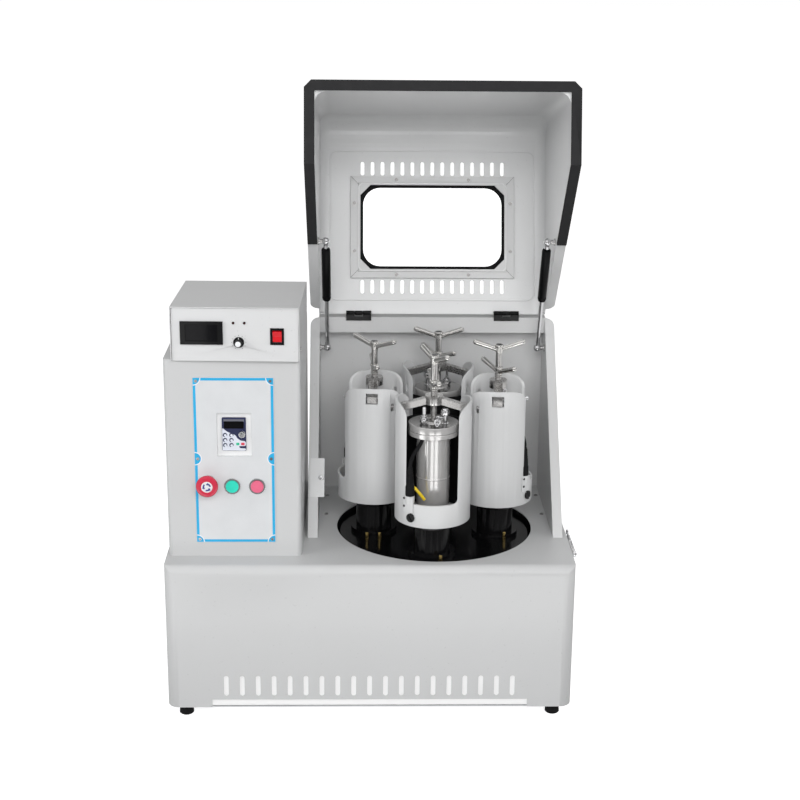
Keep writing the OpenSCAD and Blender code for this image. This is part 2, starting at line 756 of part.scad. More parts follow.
// The flipped-up lever with its draw rod and spring lies along the deck's edge
module draw_latch_lever() color(steel) translate([latch_x, latch_pivot[0], latch_pivot[1]]) {
    translate([2, 0, 0]) difference() {
        union() {
            rod_x(6, 5.5);
            translate([0, 0, -4]) cube([5.5, 62, 8]);
        }
        translate([-1, 0, 0]) rod_x(2.5 + running, 10);
        translate([1.5, 14, -5]) cube([2.5, 40, 10]);
    }
    translate([4.75, 60, 0]) rod_y(1.6, 44);
    translate([4.75, 100, 0]) {
        rod_y(2.4, 8);
        translate([-2.5, 5, -5]) cube([5, 3, 12]);
    }
    translate([4.75, 64, 0]) latch_spring();
}

spring_r = 2.9;
spring_wire = 0.7;
spring_turns = 9;
spring_len = 30;
spring_steps = 9 * 8;
function spring_at(t) = [spring_r * cos(360 * spring_turns * t), spring_len * t, spring_r * sin(360 * spring_turns * t)];
spring_points = [for (i = [0:spring_steps]) for (k = [0:5]) let (
        t = i / spring_steps,
        out = [cos(360 * spring_turns * t), 0, sin(360 * spring_turns * t)])
    spring_at(t) + spring_wire * (cos(60 * k) * out + sin(60 * k) * [0, 1, 0])];
module latch_spring() {
    polyhedron(spring_points, concat(
        [[for (k = [0:5]) k]], [[for (k = [5:-1:0]) 6 * spring_steps + k]],
        [for (i = [0:spring_steps - 1]) for (k = [0:5]) let (m = (k + 1) % 6)
            each [[6 * i + k, 6 * i + 6 + k, 6 * i + m], [6 * i + m, 6 * i + 6 + k, 6 * i + 6 + m]]]));
}

// JARS, NUMBERED FROM THE FRONT ONE TOWARDS THE RIGHT

// A jar's own frame: origin on its axis at bench height, X away from the turntable's axis
module on_planet(i) {
    translate([disc_x + planet_xy[i][0], disc_y + planet_xy[i][1], 0])
        rotate([0, 0, 270 + orbit_turn + 90 * i]) children();
}

// The opening between the lobes as seen along the slot: it flares where each lobe's top is rounded
module lobe_gap_view() {
    tall = lobe_top - cup_lip + 10;
    lobe_r = 24;
    translate([-slot_half, cup_lip]) difference() {
        union() {
            translate([0, 8]) square([2 * slot_half, tall]);
            translate([8, 0]) square([2 * slot_half - 16, tall]);
            for (x = [8, 2 * slot_half - 8]) translate([x, 8]) circle(8);
        }
    }
    for (s = [-1, 1]) difference() {
        translate([s > 0 ? slot_half - 1 : -slot_half - lobe_r, lobe_top - lobe_r]) square([lobe_r + 1, lobe_r + 10]);
        translate([s * (slot_half + lobe_r), lobe_top - lobe_r]) circle(lobe_r);
    }
}

// Two-lobed cup with a black liner's seat, its spindle below and the planet gear on the spindle
module jar_holder(i) on_planet(i) {
    color(white) difference() {
        translate([0, 0, cup_floor]) cylinder(r = holder_r, h = lobe_top - cup_floor, $fn = 128);
        translate([0, 0, cup_floor + cup_floor_t]) cylinder(r = holder_r - cup_wall, h = 300, $fn = 128);
        side_view(-100, 100) lobe_gap_view();
        translate([-11.3, -100, 564.5]) cube([22.6, 200, 20.5]);
        for (a = [123, 237]) rotate([0, 0, a]) translate([60, 0, 556]) side_slot();
    }
    color(black) {
        translate([0, 0, pedestal_top + 2]) cylinder(r = spindle_flange_r, h = cup_floor - pedestal_top - 2 - seam);
        translate([0, 0, pedestal_top + running]) cylinder(r = spindle_r + 3, h = 4);
        translate([0, 0, gear_low]) cylinder(r = spindle_r, h = pedestal_top + 3 - gear_low);
    }
    mesh_turn = 270 + orbit_turn + 90 * i;
    color(steel) translate([0, 0, gear_low]) difference() {
        gear(mesh_turn + 180 + 180 / gear_teeth);
        translate([0, 0, -1]) cylinder(r = spindle_r + seam, h = gear_h + 2);
    }
}

module side_slot() {
    rotate([0, 90, 0]) linear_extrude(20) rotate([0, 0, 90]) round_slot(8, 16);
}

// Stainless jar: hollow body with its flange, gasket, lid with a boss, two valves on top and the pick-up lead
module jar(i) on_planet(i) {
    color(steel) {
        translate([0, 0, jar_low]) rotate_extrude($fn = 96) polygon([[0, 0], [jar_r - 1, 0], [jar_r, 1],
            [jar_r, 72], [jar_r + 0.8, 72.6], [jar_r + 0.8, 74.4], [jar_r, 75], [jar_r, jar_neck - jar_low],
            [jar_flange_r, jar_neck - jar_low], [jar_flange_r, 163.5], [jar_bore, 163.5], [jar_bore, 6], [0, 6]]);
        translate([0, 0, jar_lid_z]) rotate_extrude($fn = 96) polygon([[0, 0], [jar_flange_r - 0.8, 0],
            [jar_flange_r, 0.8], [jar_flange_r, 12.2], [jar_flange_r - 0.8, 13], [17, 13],
            [17, 15.5], [0, 15.5]]);
    }
    color(black) translate([0, 0, jar_lid_z - 0.5 + seam]) ring(jar_flange_r - 4, jar_bore + 3, 0.5 - 2 * seam);
    color(steel) {
        valve(14, -17, 0);
        valve(10, 21, 14);
        translate([14, 8, 561]) rod_x(3.4, 44);
        translate([34, 8, 561]) rod_x(5.6, 9);
        translate([10, 21, 561]) rotate([0, 0, -62]) rod_x(2.6, 14);
    }
    color(black) {
        lead();
        translate([boot_at[0], boot_at[1], lead_socket_top + seam]) rotate_extrude($fn = 32)
            polygon([[0, 0], [boot_r, 0], [boot_r, 26], [boot_r - 1.6, 30], [boot_r - 1.6, 56], [3.4, 64], [0, 64]]);
    }
    color(white) rotate([0, 0, atan2(boot_at[1], boot_at[0])]) difference() {
        union() {
            translate([58, -boot_r, cup_lip + seam]) cube([15, 2 * boot_r, lead_socket_top - cup_lip - seam]);
            translate([holder_r + seam, -10, 384]) cube([3, 20, lead_socket_top - 384]);
        }
        translate([0, 0, cup_floor]) ring(holder_r + seam, holder_r - cup_wall - seam, lead_socket_top - 5 - cup_floor);
    }
}

// A needle valve on the jar's lid with a hexagon body and a hose barb
module valve(x, y, lift) translate([x, y, 0]) {
    translate([0, 0, jar_top]) cylinder(r = 4, h = 9 + lift);
    translate([0, 0, jar_top + 2 + lift]) cylinder(r = 7.4, h = 13, $fn = 6);
    if (lift == 0) translate([0, 0, jar_top + 15]) rotate_extrude($fn = 32) polygon([[0, 0], [3.2, 0],
        [3.2, 4], [4, 5], [2.8, 8], [4, 9], [2.8, 12], [2.2, 16], [0, 16]]);
}

// The jar's pick-up lead, from under the flange to its boot on the holder's edge
lead_r = 2.4;
boot_at = [53, -39.5];
boot_r = 6.5;
lead_socket_top = 424;
lead_route = [[37, -20, 527], [37, -20, 523], [39, -22, 519], [43, -26, 516], [47.5, -31, 513], [51, -36, 507],
    [52.6, -38.6, 500], [53, -39.5, 494], [53, -39.5, 488]];
lead_sides = 8;
function unit(v) = v / norm(v);
function lead_way(i) = unit(lead_route[min(i + 1, len(lead_route) - 1)] - lead_route[max(i - 1, 0)]);
lead_points = [for (i = [0:len(lead_route) - 1]) let (
        way = lead_way(i),
        across = unit(cross(way, [1, 0.9, 0])),
        over = cross(across, way))
    for (k = [0:lead_sides - 1]) lead_route[i] + lead_r * (cos(360 * k / lead_sides) * across + sin(360 * k / lead_sides) * over)];
module lead() {
    last = len(lead_route) - 1;
    polyhedron(lead_points, concat(
        [[for (k = [lead_sides - 1:-1:0]) k]], [[for (k = [0:lead_sides - 1]) lead_sides * last + k]],
        [for (i = [0:last - 1]) for (k = [0:lead_sides - 1]) let (m = (k + 1) % lead_sides, o = lead_sides * i)
            each [[o + k, o + m, o + lead_sides + k], [o + m, o + lead_sides + m, o + lead_sides + k]]]));
}

// Steel clamp beam: a hub with two drooping arms whose ends sit in the lobes' windows
function arm_point(way, off) = [way * cos(beam_droop) + off * sin(beam_droop),
    beam_z + 2 - way * sin(beam_droop) + off * cos(beam_droop)];
arm_view = [arm_point(8, 6), arm_point(58, 6), [68, 578], [68, 566], [56, 566], arm_point(56, -6), arm_point(8, -6)];
module clamp_beam(i) color(steel) on_planet(i) difference() {
    union() {
        translate([0, 0, beam_z - 8]) cylinder(r = 16.5, h = 16);
        side_view(-8.5, 8.5) polygon(concat(arm_view, [for (k = [6:-1:0]) [-arm_view[k][0], arm_view[k][1]]]));
    }
    translate([0, 0, beam_z - 30]) cylinder(r = screw_r + running, h = 60);
}

// A lever with two rising arms on a flared hub
module wing_lever(turn) rotate([0, 0, turn]) {
    rotate_extrude($fn = 48) polygon([[0, 0], [wing_hub_r - 1.6, 0], [wing_hub_r - 1.2, wing_hub_h - 5],
        [wing_hub_r, wing_hub_h - 4], [wing_hub_r, wing_hub_h - 0.6], [wing_hub_r - 0.6, wing_hub_h], [0, wing_hub_h]]);
    for (a = [0, 180]) rotate([0, 0, a]) translate([0, 0, wing_hub_h / 2 - 2]) rotate([0, 90 - wing_rise, 0]) {
        cylinder(r = wing_rod_r, h = wing_arm, $fn = 32);
        translate([0, 0, wing_arm]) sphere(r = wing_rod_r, $fn = 32);
    }
}

// The levers are set by their direction in the room, so each takes off its planet's own turn
function room(i, turn) = turn - (270 + orbit_turn + 90 * i);

module wing_screw(i) color(steel) on_planet(i) {
    translate([0, 0, screw_foot_z + 4]) cylinder(r = screw_r, h = wing_z[i] - screw_foot_z);
    translate([0, 0, screw_foot_z]) cylinder(r = 9, h = 5);
    translate([0, 0, wing_z[i] - wing_hub_h / 2]) wing_lever(room(i, wing_turn[i]));
}

module lock_lever(i) color(steel) on_planet(i) difference() {
    translate([0, 0, lock_z[i] - wing_hub_h / 2]) union() {
        wing_lever(room(i, lock_turn[i]));
        translate([0, 0, -3]) cylinder(r = wing_hub_r - 0.5, h = 4);
    }
    translate([0, 0, lock_z[i] - 30]) cylinder(r = screw_r + running, h = 60);
}

module jar_holder_1() { jar_holder(0); }
module jar_holder_2() { jar_holder(1); }
module jar_holder_3() { jar_holder(2); }
module jar_holder_4() { jar_holder(3); }
module jar_1() { jar(0); }
module jar_2() { jar(1); }
module jar_3() { jar(2); }
module jar_4() { jar(3); }
module clamp_beam_1() { clamp_beam(0); }
module clamp_beam_2() { clamp_beam(1); }
module clamp_beam_3() { clamp_beam(2); }
module clamp_beam_4() { clamp_beam(3); }
module wing_screw_1() { wing_screw(0); }
module wing_screw_2() { wing_screw(1); }
module wing_screw_3() { wing_screw(2); }
module wing_screw_4() { wing_screw(3); }
module lock_lever_1() { lock_lever(0); }
module lock_lever_2() { lock_lever(1); }
module lock_lever_3() { lock_lever(2); }
module lock_lever_4() { lock_lever(3); }

// CONTROL TOWER AND POWER SUPPLY BOX

module control_tower() color(white) {
    depth = tower_back - tower_front;
    difference() {
        translate([tower_x, tower_front, deck_z]) linear_extrude(tower_z - deck_z) round_rect(tower_w, depth, 8);
        translate([tower_x + sheet, tower_front + sheet, deck_z - 1]) linear_extrude(tower_z - deck_z + 1 - sheet)
            round_rect(tower_w - 2 * sheet, depth - 2 * sheet, 6);
        button_holes();
    }
}

module button_holes() {
    for (p = [estop_at, start_at, stop_at]) translate([p[0], panel_face - 1, p[1]]) rod_y(barrel_r, 8);
    translate([keypad_at[0] - 8.5, panel_face - 1, keypad_at[1] - 9.5]) cube([keypad_size[0] + 18.5, 8, keypad_size[1] + 19]);
}

module control_panel() color("#e9ebee") difference() {
    front_view(panel_face, tower_front) translate([panel_x, panel_z]) round_rect(panel_w, panel_h, 2);
    button_holes();
}

// The inverter's front: a dark module with a display, set back in its cut-out
module inverter_keypad() color("#3a3f46") {
    z0 = keypad_at[1];
    y0 = tower_front + 2;
    difference() {
        union() {
            difference() {
                translate([keypad_at[0] - 11.5, y0 + seam, z0 - 12.5]) cube([keypad_size[0] + 24.5, 14, keypad_size[1] + 25]);
                translate([keypad_at[0] - 8.5, y0 - 1, z0 - 9.5]) cube([keypad_size[0] + 18.5, 13, keypad_size[1] + 19]);
            }
            translate([keypad_at[0], y0, z0]) cube([keypad_size[0], 40, keypad_size[1]]);
            translate([keypad_at[0] + 3, y0 - 1.4, z0 + 40]) cube([keypad_size[0] - 6, 2, 22]);
            for (c = [0:1]) for (r = [0:2])
                translate([keypad_at[0] + 8 + c * 9.4, y0 + 1, z0 + 7 + r * 10]) rotate([90, 0, 0]) cylinder(r = 3.6, h = 2.4);
            for (r = [0:1]) translate([keypad_at[0] + 30, y0 - 1.2, z0 + 3.5 + r * 7]) cube([8, 2, 5]);
        }
        translate([knob_at[0], y0 - 2, knob_at[1]]) rod_y(2 + running, 20);
    }
}

module keypad_knob() color("#8d9299") translate([knob_at[0], 0, knob_at[1]]) {
    y0 = tower_front + 2;
    translate([0, y0 - 8, 0]) rod_y(6.2, 7.6);
    translate([0, y0 - 1, 0]) rod_y(2, 12);
    translate([-0.7, y0 - 8.6, 0]) cube([1.4, 2, 5.6]);
}

// The three threaded barrels with their bezel rings, nuts behind the sheet
module button_collars() color(steel) {
    for (p = [start_at, stop_at]) translate([p[0], panel_face, p[1]]) difference() {
        union() {
            translate([0, -3.5, 0]) rod_y(bezel_r, 3.5);
            rod_y(barrel_r - 0.1, 26);
            translate([0, panel_t + sheet, 0]) rod_y(14, 4);
        }
        translate([0, -4, 0]) rod_y(cap_r + 0.5, 5.4);
        rod_y(5.3, 40);
    }
    translate([estop_at[0], panel_face, estop_at[1]]) difference() {
        union() {
            translate([0, -3, 0]) rod_y(bezel_r, 3);
            rod_y(barrel_r - 0.1, 34);
            translate([0, panel_t + sheet, 0]) rod_y(14, 4);
        }
        translate([0, -4, 0]) rod_y(7.3, 50);
    }
}

module push_cap() {
    translate([0, -5.2, 0]) rod_y(cap_r, 1.9);
    translate([0, -5.2, 0]) rod_y(cap_r - 1, 2);
    translate([0, -4, 0]) rod_y(5, 24);
}

module start_button() color("#2fa98c") translate([start_at[0], panel_face, start_at[1]]) push_cap();
module stop_button() color("#d8395a") translate([stop_at[0], panel_face, stop_at[1]]) push_cap();

module estop_head() color("#c9182b") translate([estop_at[0], panel_face, estop_at[1]]) {
    rotate([90, 0, 0]) rotate_extrude($fn = 72) polygon([[0, 12], [16, 12], [20, 15], [20, 21], [18.6, 24],
        [13, 26], [10.5, 26], [10.5, 25], [0, 25]]);
    translate([0, -13, 0]) rod_y(7, 40);
}

// Power supply box, in its own frame: origin at the middle of its front foot
module box_place() {
    translate([box_x, box_front, tower_z]) rotate([0, 0, box_turn]) children();
}

module power_box_chassis() color("#e3e4e6") box_place() {
    translate([-box_w / 2 + 2, 2, 0]) cube([box_w - 4, box_d - 4, sheet]);
    difference() {
        translate([-box_w / 2 + 2.5, 0, 0]) cube([box_w - 5, sheet, box_h - 2.5]);
        translate([-92, -1, 34]) cube([68, 4, 36]);
        translate([6.7, -1, 34.4]) rod_y(4, 5);
        translate([64, -1, 32.5]) cube([21, 4, 26.4]);
    }
    difference() {
        translate([-box_w / 2 + 2.5, box_d - 2 * sheet, 0]) cube([box_w - 5, sheet, box_h - 4]);
        for (i = [0:7]) translate([-70 + i * 20, box_d - 6, 30]) cube([8, 8, 40]);
    }
    translate([-60, 70, sheet]) cube([90, 100, 70]);
}

module power_box_cover() color(grey) box_place() difference() {
    translate([-box_w / 2, -3, 1]) cube([box_w, box_d + 3, box_h - 1]);
    translate([-box_w / 2 + sheet, -4, 0]) cube([box_w - 2 * sheet, box_d + 6, box_h - sheet]);
    for (x = [-1, 1]) translate([x > 0 ? box_w / 2 - 3 : -box_w / 2 - 1, 12, 20]) rotate([0, 90, 0]) cylinder(r = 2, h = 5);
}

module voltage_meter() color(black) box_place() {
    difference() {
        union() {
            translate([-96, -4, 30.7]) cube([75.3, 4, 41.5]);
            translate([-91.8, 0, 34.2]) cube([67.6, 26, 35.6]);
        }
        translate([-87, -5, 36.8]) cube([57, 3, 30]);
    }
    for (x = [-2.4, 17.2]) translate([x, -1.6, 69.5]) rod_y(2.4, 1.6);
    difference() {
        translate([62.2, -2, 30.7]) cube([24.5, 2, 30]);
        translate([65.6, -3, 34.2]) cube([17.8, 4, 23]);
    }
}

module adjust_knob() color(black) box_place() translate([6.7, 0, 34.4]) {
    translate([0, -3.2, 0]) rod_y(9.8, 2.8);
    translate([0, -15, 0]) rod_y(6.4, 12);
    translate([0, -2, 0]) rod_y(2.9, 12);
}

// Rocker switch, resting at one end of its tilt
rocker_tilt = 8;
module power_rocker() color("#c8202c") box_place() translate([74.5, 3, 45.7]) rotate([rocker_tilt, 0, 0])
    side_view(-8.2, 8.2) polygon([[-5, -9.6], [-3.4, 0], [-5, 9.6], [3, 9.6], [6, 0], [3, -9.6]]);

// Screws of the control panel and of the box, and the chamber's two ball studs
module body_screws() color(steel) {
    for (x = [panel_x + 6, panel_x + panel_w - 6]) for (z = [panel_z + 6, panel_z + panel_h / 2 + 4.6, panel_z + panel_h - 6])
        translate([x, panel_face, z]) rotate([90, 0, 0]) screw_head(2.8, 1.6);
    box_place() for (s = [-1, 1]) translate([s * box_w / 2, 12, 20]) rotate([0, s * 90, 0]) screw_head(4, 2);
    for (s = [-1, 1]) translate([chamber_x + s * chamber_half, strut_low[0], strut_low[1]]) mirror([s > 0 ? 1 : 0, 0, 0]) {
        rod_x(strut_pin_r, chamber_half - strut_half + strut_eye_w / 2);
        rod_x(7, 2.5);
    }
    translate([tower_x, -112, deck_z + 12]) rotate([0, -90, 0]) screw_head(5, 4);
    for (x = [chamber_l + 14, chamber_r - 8]) for (y = [40, 148]) translate([x, y, deck_z]) screw_head(4, 2);
}

place() base_shell();
place() base_floor();
place() rear_panel();
place() power_inlet();
place() rubber_feet();
place() turntable_well();
place() chamber_shell();
place() control_tower();
place() control_panel();
place() inverter_keypad();
place() button_collars();
place() power_box_chassis();
place() power_box_cover();
place() voltage_meter();
place() hinge_fixed_leaves();
place() body_screws();
place() drive_motor();
place() sun_gear();
place() drive_belt();
place() lid_catches();
place() keypad_knob();
place() estop_head();
place() start_button();
place() stop_button();
place() adjust_knob();
place() power_rocker();
place() lid_shell();
place() lid_window();
place() window_frame();
place() lid_seal();
place() hinge_lid_leaves();
place() lid_screws();
place() strut_rod_left();
place() strut_rod_right();
place() strut_tube_left();
place() strut_tube_right();
place() turntable();
place() main_shaft();
place() motor_pulley();
place() draw_latch_lever();
place() jar_holder_1();
place() jar_holder_2();
place() jar_holder_3();
place() jar_holder_4();
place() jar_1();
place() jar_2();
place() jar_3();
place() jar_4();
place() clamp_beam_1();
place() clamp_beam_2();
place() clamp_beam_3();
place() clamp_beam_4();
place() wing_screw_1();
place() wing_screw_2();
place() wing_screw_3();
place() wing_screw_4();
place() lock_lever_1();
place() lock_lever_2();
place() lock_lever_3();
place() lock_lever_4();
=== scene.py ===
# %% [markdown]
# # A planetary ball mill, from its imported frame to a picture
# The construction model holds every solid at its real size and place, so nothing here moves or resizes one.
# This lesson gives each solid its finish, lays finer meshes over the ones that want more shape, such as cast
# levers and ball joints, and lights the machine for the camera.

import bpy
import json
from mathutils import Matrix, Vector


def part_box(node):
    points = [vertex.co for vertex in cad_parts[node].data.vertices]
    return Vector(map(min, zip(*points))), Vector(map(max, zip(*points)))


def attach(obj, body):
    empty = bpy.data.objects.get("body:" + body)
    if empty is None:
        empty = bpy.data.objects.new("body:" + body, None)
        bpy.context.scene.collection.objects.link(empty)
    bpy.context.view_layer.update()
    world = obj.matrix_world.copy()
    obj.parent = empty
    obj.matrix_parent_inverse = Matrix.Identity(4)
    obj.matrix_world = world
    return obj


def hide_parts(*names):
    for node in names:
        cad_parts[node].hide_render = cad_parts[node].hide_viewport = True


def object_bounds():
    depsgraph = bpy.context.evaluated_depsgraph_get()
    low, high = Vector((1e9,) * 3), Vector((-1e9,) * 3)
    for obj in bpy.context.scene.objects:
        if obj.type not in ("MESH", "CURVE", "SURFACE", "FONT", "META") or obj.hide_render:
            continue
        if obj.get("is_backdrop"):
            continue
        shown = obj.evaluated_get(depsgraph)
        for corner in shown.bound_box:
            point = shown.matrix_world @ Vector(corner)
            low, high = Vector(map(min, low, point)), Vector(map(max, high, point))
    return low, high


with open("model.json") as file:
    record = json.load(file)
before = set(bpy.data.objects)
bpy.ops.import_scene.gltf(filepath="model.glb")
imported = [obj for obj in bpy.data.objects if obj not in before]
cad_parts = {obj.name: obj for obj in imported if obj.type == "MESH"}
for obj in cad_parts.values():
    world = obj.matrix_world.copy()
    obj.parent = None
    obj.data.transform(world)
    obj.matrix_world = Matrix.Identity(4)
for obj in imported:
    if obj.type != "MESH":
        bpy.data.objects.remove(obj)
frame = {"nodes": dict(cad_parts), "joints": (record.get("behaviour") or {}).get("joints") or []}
solid_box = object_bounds()

# %% [markdown]
# The solids were drawn in millimetres about the middle of the base cabinet. One matrix carries a drawing into
# the frame, which is in metres. It is read off the base cabinet's own box, so a mesh drawn here lands on the
# solid that was drawn the same way.

# %% The machine's millimetres
import json
import math

import bmesh
import bpy
from mathutils import Matrix, Vector

mm = 0.001
base_low, base_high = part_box("base_shell")
base_middle = (base_low + base_high) / 2
machine = Matrix.Translation((base_middle.x, base_middle.y, 0)) @ Matrix.Scale(mm, 4)
joints = {joint["name"]: joint for joint in frame["joints"]}


def shift(x, y, z):
    return Matrix.Translation((x, y, z))


def turn(degrees, axis):
    return Matrix.Rotation(math.radians(degrees), 4, axis)


def joint_at(name):
    """A joint's place in the machine's millimetres."""
    return machine.inverted() @ Vector(joints[name]["pos_m"])


def box_of(node):
    """A solid's lowest and highest corner in the machine's millimetres."""
    low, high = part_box(node)
    return machine.inverted() @ low, machine.inverted() @ high


turntable_axis = joint_at("turntable_spin")
hinge = joint_at("lid_hinge")
print("hinge at", [round(v, 1) for v in hinge], "turntable at", [round(v, 1) for v in turntable_axis])

# %% [markdown]
# Four groups of pieces are drawn in a place of their own: the shut hood, a jar on its axis with X outwards,
# a gas strut along Y, and the power box square to its front. A matrix for each says where it goes, and the
# joints give three of them.

# %% Places to draw in
hood_swing = joints["lid_hinge"]["range_deg"][1]
hood = shift(*hinge) @ turn(-hood_swing, "X") @ shift(*-hinge)
hood_top_slope = math.radians(4.57)
hood_rear, hood_rear_z = 178, 698.4
hood_top = hood @ shift(turntable_axis.x, hood_rear, hood_rear_z) @ Matrix.Rotation(-hood_top_slope, 4, "X")


def planet(number):
    """A jar's place: on its axis at bench height, X away from the turntable's axis."""
    axis = joint_at(f"planet_{number}_spin")
    outwards = math.atan2(axis.y - turntable_axis.y, axis.x - turntable_axis.x)
    return shift(axis.x, axis.y, 0) @ Matrix.Rotation(outwards, 4, "Z")


def strut(side):
    """A gas strut's place: on its lower pin, Y along the strut towards the hood."""
    letter = "l" if side < 0 else "r"
    pin = joint_at(f"strut_{letter}_pivot")
    way = Vector(joints[f"strut_{letter}_slide"]["axis"])
    return shift(*pin) @ Matrix.Rotation(math.atan2(way.z, way.y), 4, "X")


tower_low, tower_high = box_of("control_tower")
power_box = shift(-240, -187, tower_high.z) @ turn(-1.5, "Z")
print("hood swung up by", hood_swing, "degrees; tower top at", round(tower_high.z, 1))

# %% [markdown]
# ## Finishes
# A finish is a small tree of shader nodes. Most of it is arithmetic on a texture's value, so a socket is
# wrapped in a class that knows plus, minus and times: `0.3 + grain * 0.2` then adds the Math nodes by
# itself. Every other node comes from the one method `node`, which sets the node's settings first and its
# sockets after.

# %% Sockets that can be added and multiplied


class Wire:
    """The output of a node, for use in expressions."""

    def __init__(self, finish, socket):
        self.finish = finish
        self.socket = socket

    def math(self, operation, other):
        settings = {"operation": operation}
        return self.finish.node("ShaderNodeMath", None, settings, Value=self, Value_001=other)

    def __add__(self, other):
        return self.math("ADD", other)

    def __sub__(self, other):
        return self.math("SUBTRACT", other)

    def __mul__(self, other):
        return self.math("MULTIPLY", other)

    __radd__ = __add__
    __rmul__ = __mul__


class Nodes:
    """A tree of nodes, and the one method that adds any node to it."""

    def __init__(self, owner):
        owner.use_nodes = True
        self.tree = owner.node_tree

    def node(self, kind, output=None, settings=None, **sockets):
        """Adds a node: its settings first, then the values or links of its sockets."""
        made = self.tree.nodes.new(kind)
        for key, value in (settings or {}).items():
            setattr(made, key, value)
        for key, value in sockets.items():
            names = {key, key.replace("_", " ")}
            self.feed(next(s for s in made.inputs if names & {s.identifier, s.name}), value)
        wanted = [s for s in made.outputs if output in (s.identifier, s.name)] or list(made.outputs)
        return Wire(self, wanted[0])

    def feed(self, socket, value):
        """Links a wire to a socket, or sets the socket to a plain value."""
        if isinstance(value, Wire):
            self.tree.links.new(value.socket, socket)
        elif hasattr(value, "__len__") and socket.type == "RGBA":
            socket.default_value = (*value[:3], 1)
        else:
            socket.default_value = value

    def between(self, low, high, where, start=0.0, end=1.0):
        """A value's way from low to high, cut off at both ends, as a number from start to end."""
        ends = {"From_Min": low, "From_Max": high, "To_Min": start, "To_Max": end}
        return self.node("ShaderNodeMapRange", Value=where, **ends)

    def height(self, position):
        return self.node("ShaderNodeSeparateXYZ", "Z", Vector=position)


finishes = {}


class Finish(Nodes):
    """One material, its textures drawn in the piece's own rest position."""

    def __init__(self, name, **constants):
        self.material = bpy.data.materials.new(name)
        super().__init__(self.material)
        self.shader = self.tree.nodes["Principled BSDF"]
        self.into(**constants)
        self.rest = self.node("ShaderNodeTexCoord", "Object")
        finishes[name] = self

    def into(self, **sockets):
        """Feeds the shader's own sockets."""
        for name, value in sockets.items():
            self.feed(self.shader.inputs[name.replace("_", " ")], value)
        return self

    def surface(self, colour, roughness, relief, depth, strength=0.5):
        """What nearly every finish sets: colour, roughness, and a relief some metres deep."""
        bump = self.node("ShaderNodeBump", Height=relief, Distance=depth, Strength=strength)
        return self.into(Base_Color=colour, Roughness=roughness, Normal=bump)

    def noise(self, scale, detail=2.0, where=None, roughness=0.5):
        sockets = {"Vector": where or self.rest, "Scale": scale, "Detail": detail, "Roughness": roughness}
        return self.node("ShaderNodeTexNoise", "Fac", **sockets)

    def mix(self, amount, first, second):
        sockets = {"Factor_Float": amount, "A_Color": first, "B_Color": second}
        return self.node("ShaderNodeMix", "Result_Color", {"data_type": "RGBA"}, **sockets)


def darker(colour, share):
    return tuple(channel * (1 - share) for channel in colour)


# %% [markdown]
# Powder coat covers nearly all the sheet metal: orange peel two millimetres wide, a slow drift in tone, and
# a few specks of dust. An image of paint would show seams. Noise in the rest position has none, keeps one
# scale over every panel and stays on the sheet when the hood swings.

# %% Powder coat and enamel
peel_depth = 0.00006


def powder_coat(name, colour, roughness=0.42, peel=1.0, drift=0.05, shine=0.45, gloss=0.15):
    finish = Finish(name, Specular_IOR_Level=shine, Coat_Weight=gloss, Coat_Roughness=0.12)
    speck = finish.between(0.735, 0.76, finish.noise(190.0, 1.0))
    body = finish.mix(finish.noise(5.0, 3.0), darker(colour, drift), colour)
    coat = finish.mix(speck * 0.35, body, darker(colour, 0.25))
    wear = finish.noise(26.0, 4.0)
    return finish.surface(coat, roughness - 0.05 + wear * 0.1, finish.noise(520.0), peel_depth * peel)


def two_tone(name, colour, low_colour, split, soft=0.0004, roughness=0.4):
    """One finish above a height and another one below it, for a solid that is painted in two tones."""
    finish = Finish(name, Specular_IOR_Level=0.45)
    upper = finish.between(split - soft, split + soft, finish.height(finish.rest))
    tone = finish.noise(6.0, 3.0)
    light = finish.mix(tone, darker(colour, 0.05), colour)
    dark = finish.mix(tone, low_colour, darker(low_colour, 0.4))
    paint = finish.mix(upper, dark, light)
    return finish.surface(paint, 0.2 + upper * (roughness - 0.2), finish.noise(520.0), peel_depth)


# %% [markdown]
# The steels differ in how they were worked. A jar is turned, so its fine grooves run round it: the noise is
# stretched until it changes fast upwards and hardly sideways. A clamp beam is ground along its length. The
# levers are cast and tumbled, lumpy without a direction. Chrome is nearly a mirror.

# %% Metals


def worked_steel(name, colour, roughness, grain, groove=0.00003, spread=0.14, metal=1.0):
    """Steel with a grain: the three numbers in grain say how fine the noise is along X, Y and Z."""
    finish = Finish(name, Metallic=metal)
    multiply = {"operation": "MULTIPLY"}
    stretched = finish.node("ShaderNodeVectorMath", None, multiply, Vector=finish.rest, Vector_001=grain)
    lines = finish.noise(1.0, 3.0, stretched, 0.6)
    tone = finish.mix(lines * 0.6 + finish.noise(38.0, 3.0) * 0.4, darker(colour, 0.22), colour)
    return finish.surface(tone, roughness - spread / 2 + lines * spread, lines, groove, 0.6)


def cast_steel(name, colour, roughness):
    finish = Finish(name, Metallic=1.0)
    lumps = finish.noise(240.0, 3.0)
    pits = finish.between(0.64, 0.72, finish.noise(900.0, 1.0))
    skin = finish.mix(pits * 0.7, colour, darker(colour, 0.5))
    return finish.surface(skin, roughness - 0.06 + lumps * 0.16, lumps * 0.8 - pits * 0.3, 0.0003)


def chrome(name, colour):
    finish = Finish(name, Metallic=1.0)
    haze = finish.noise(60.0, 3.0)
    skin = finish.mix(haze, darker(colour, 0.08), colour)
    return finish.surface(skin, 0.05 + haze * 0.08, finish.noise(300.0), 0.00002, 0.3)


# %% [markdown]
# Plastics, rubber and foam differ in their grain and in how wide the highlight is. The window is clear
# acrylic, and only a faint haze of fine dust and the room's reflections say that it is there.

# %% Plastics, rubber and acrylic


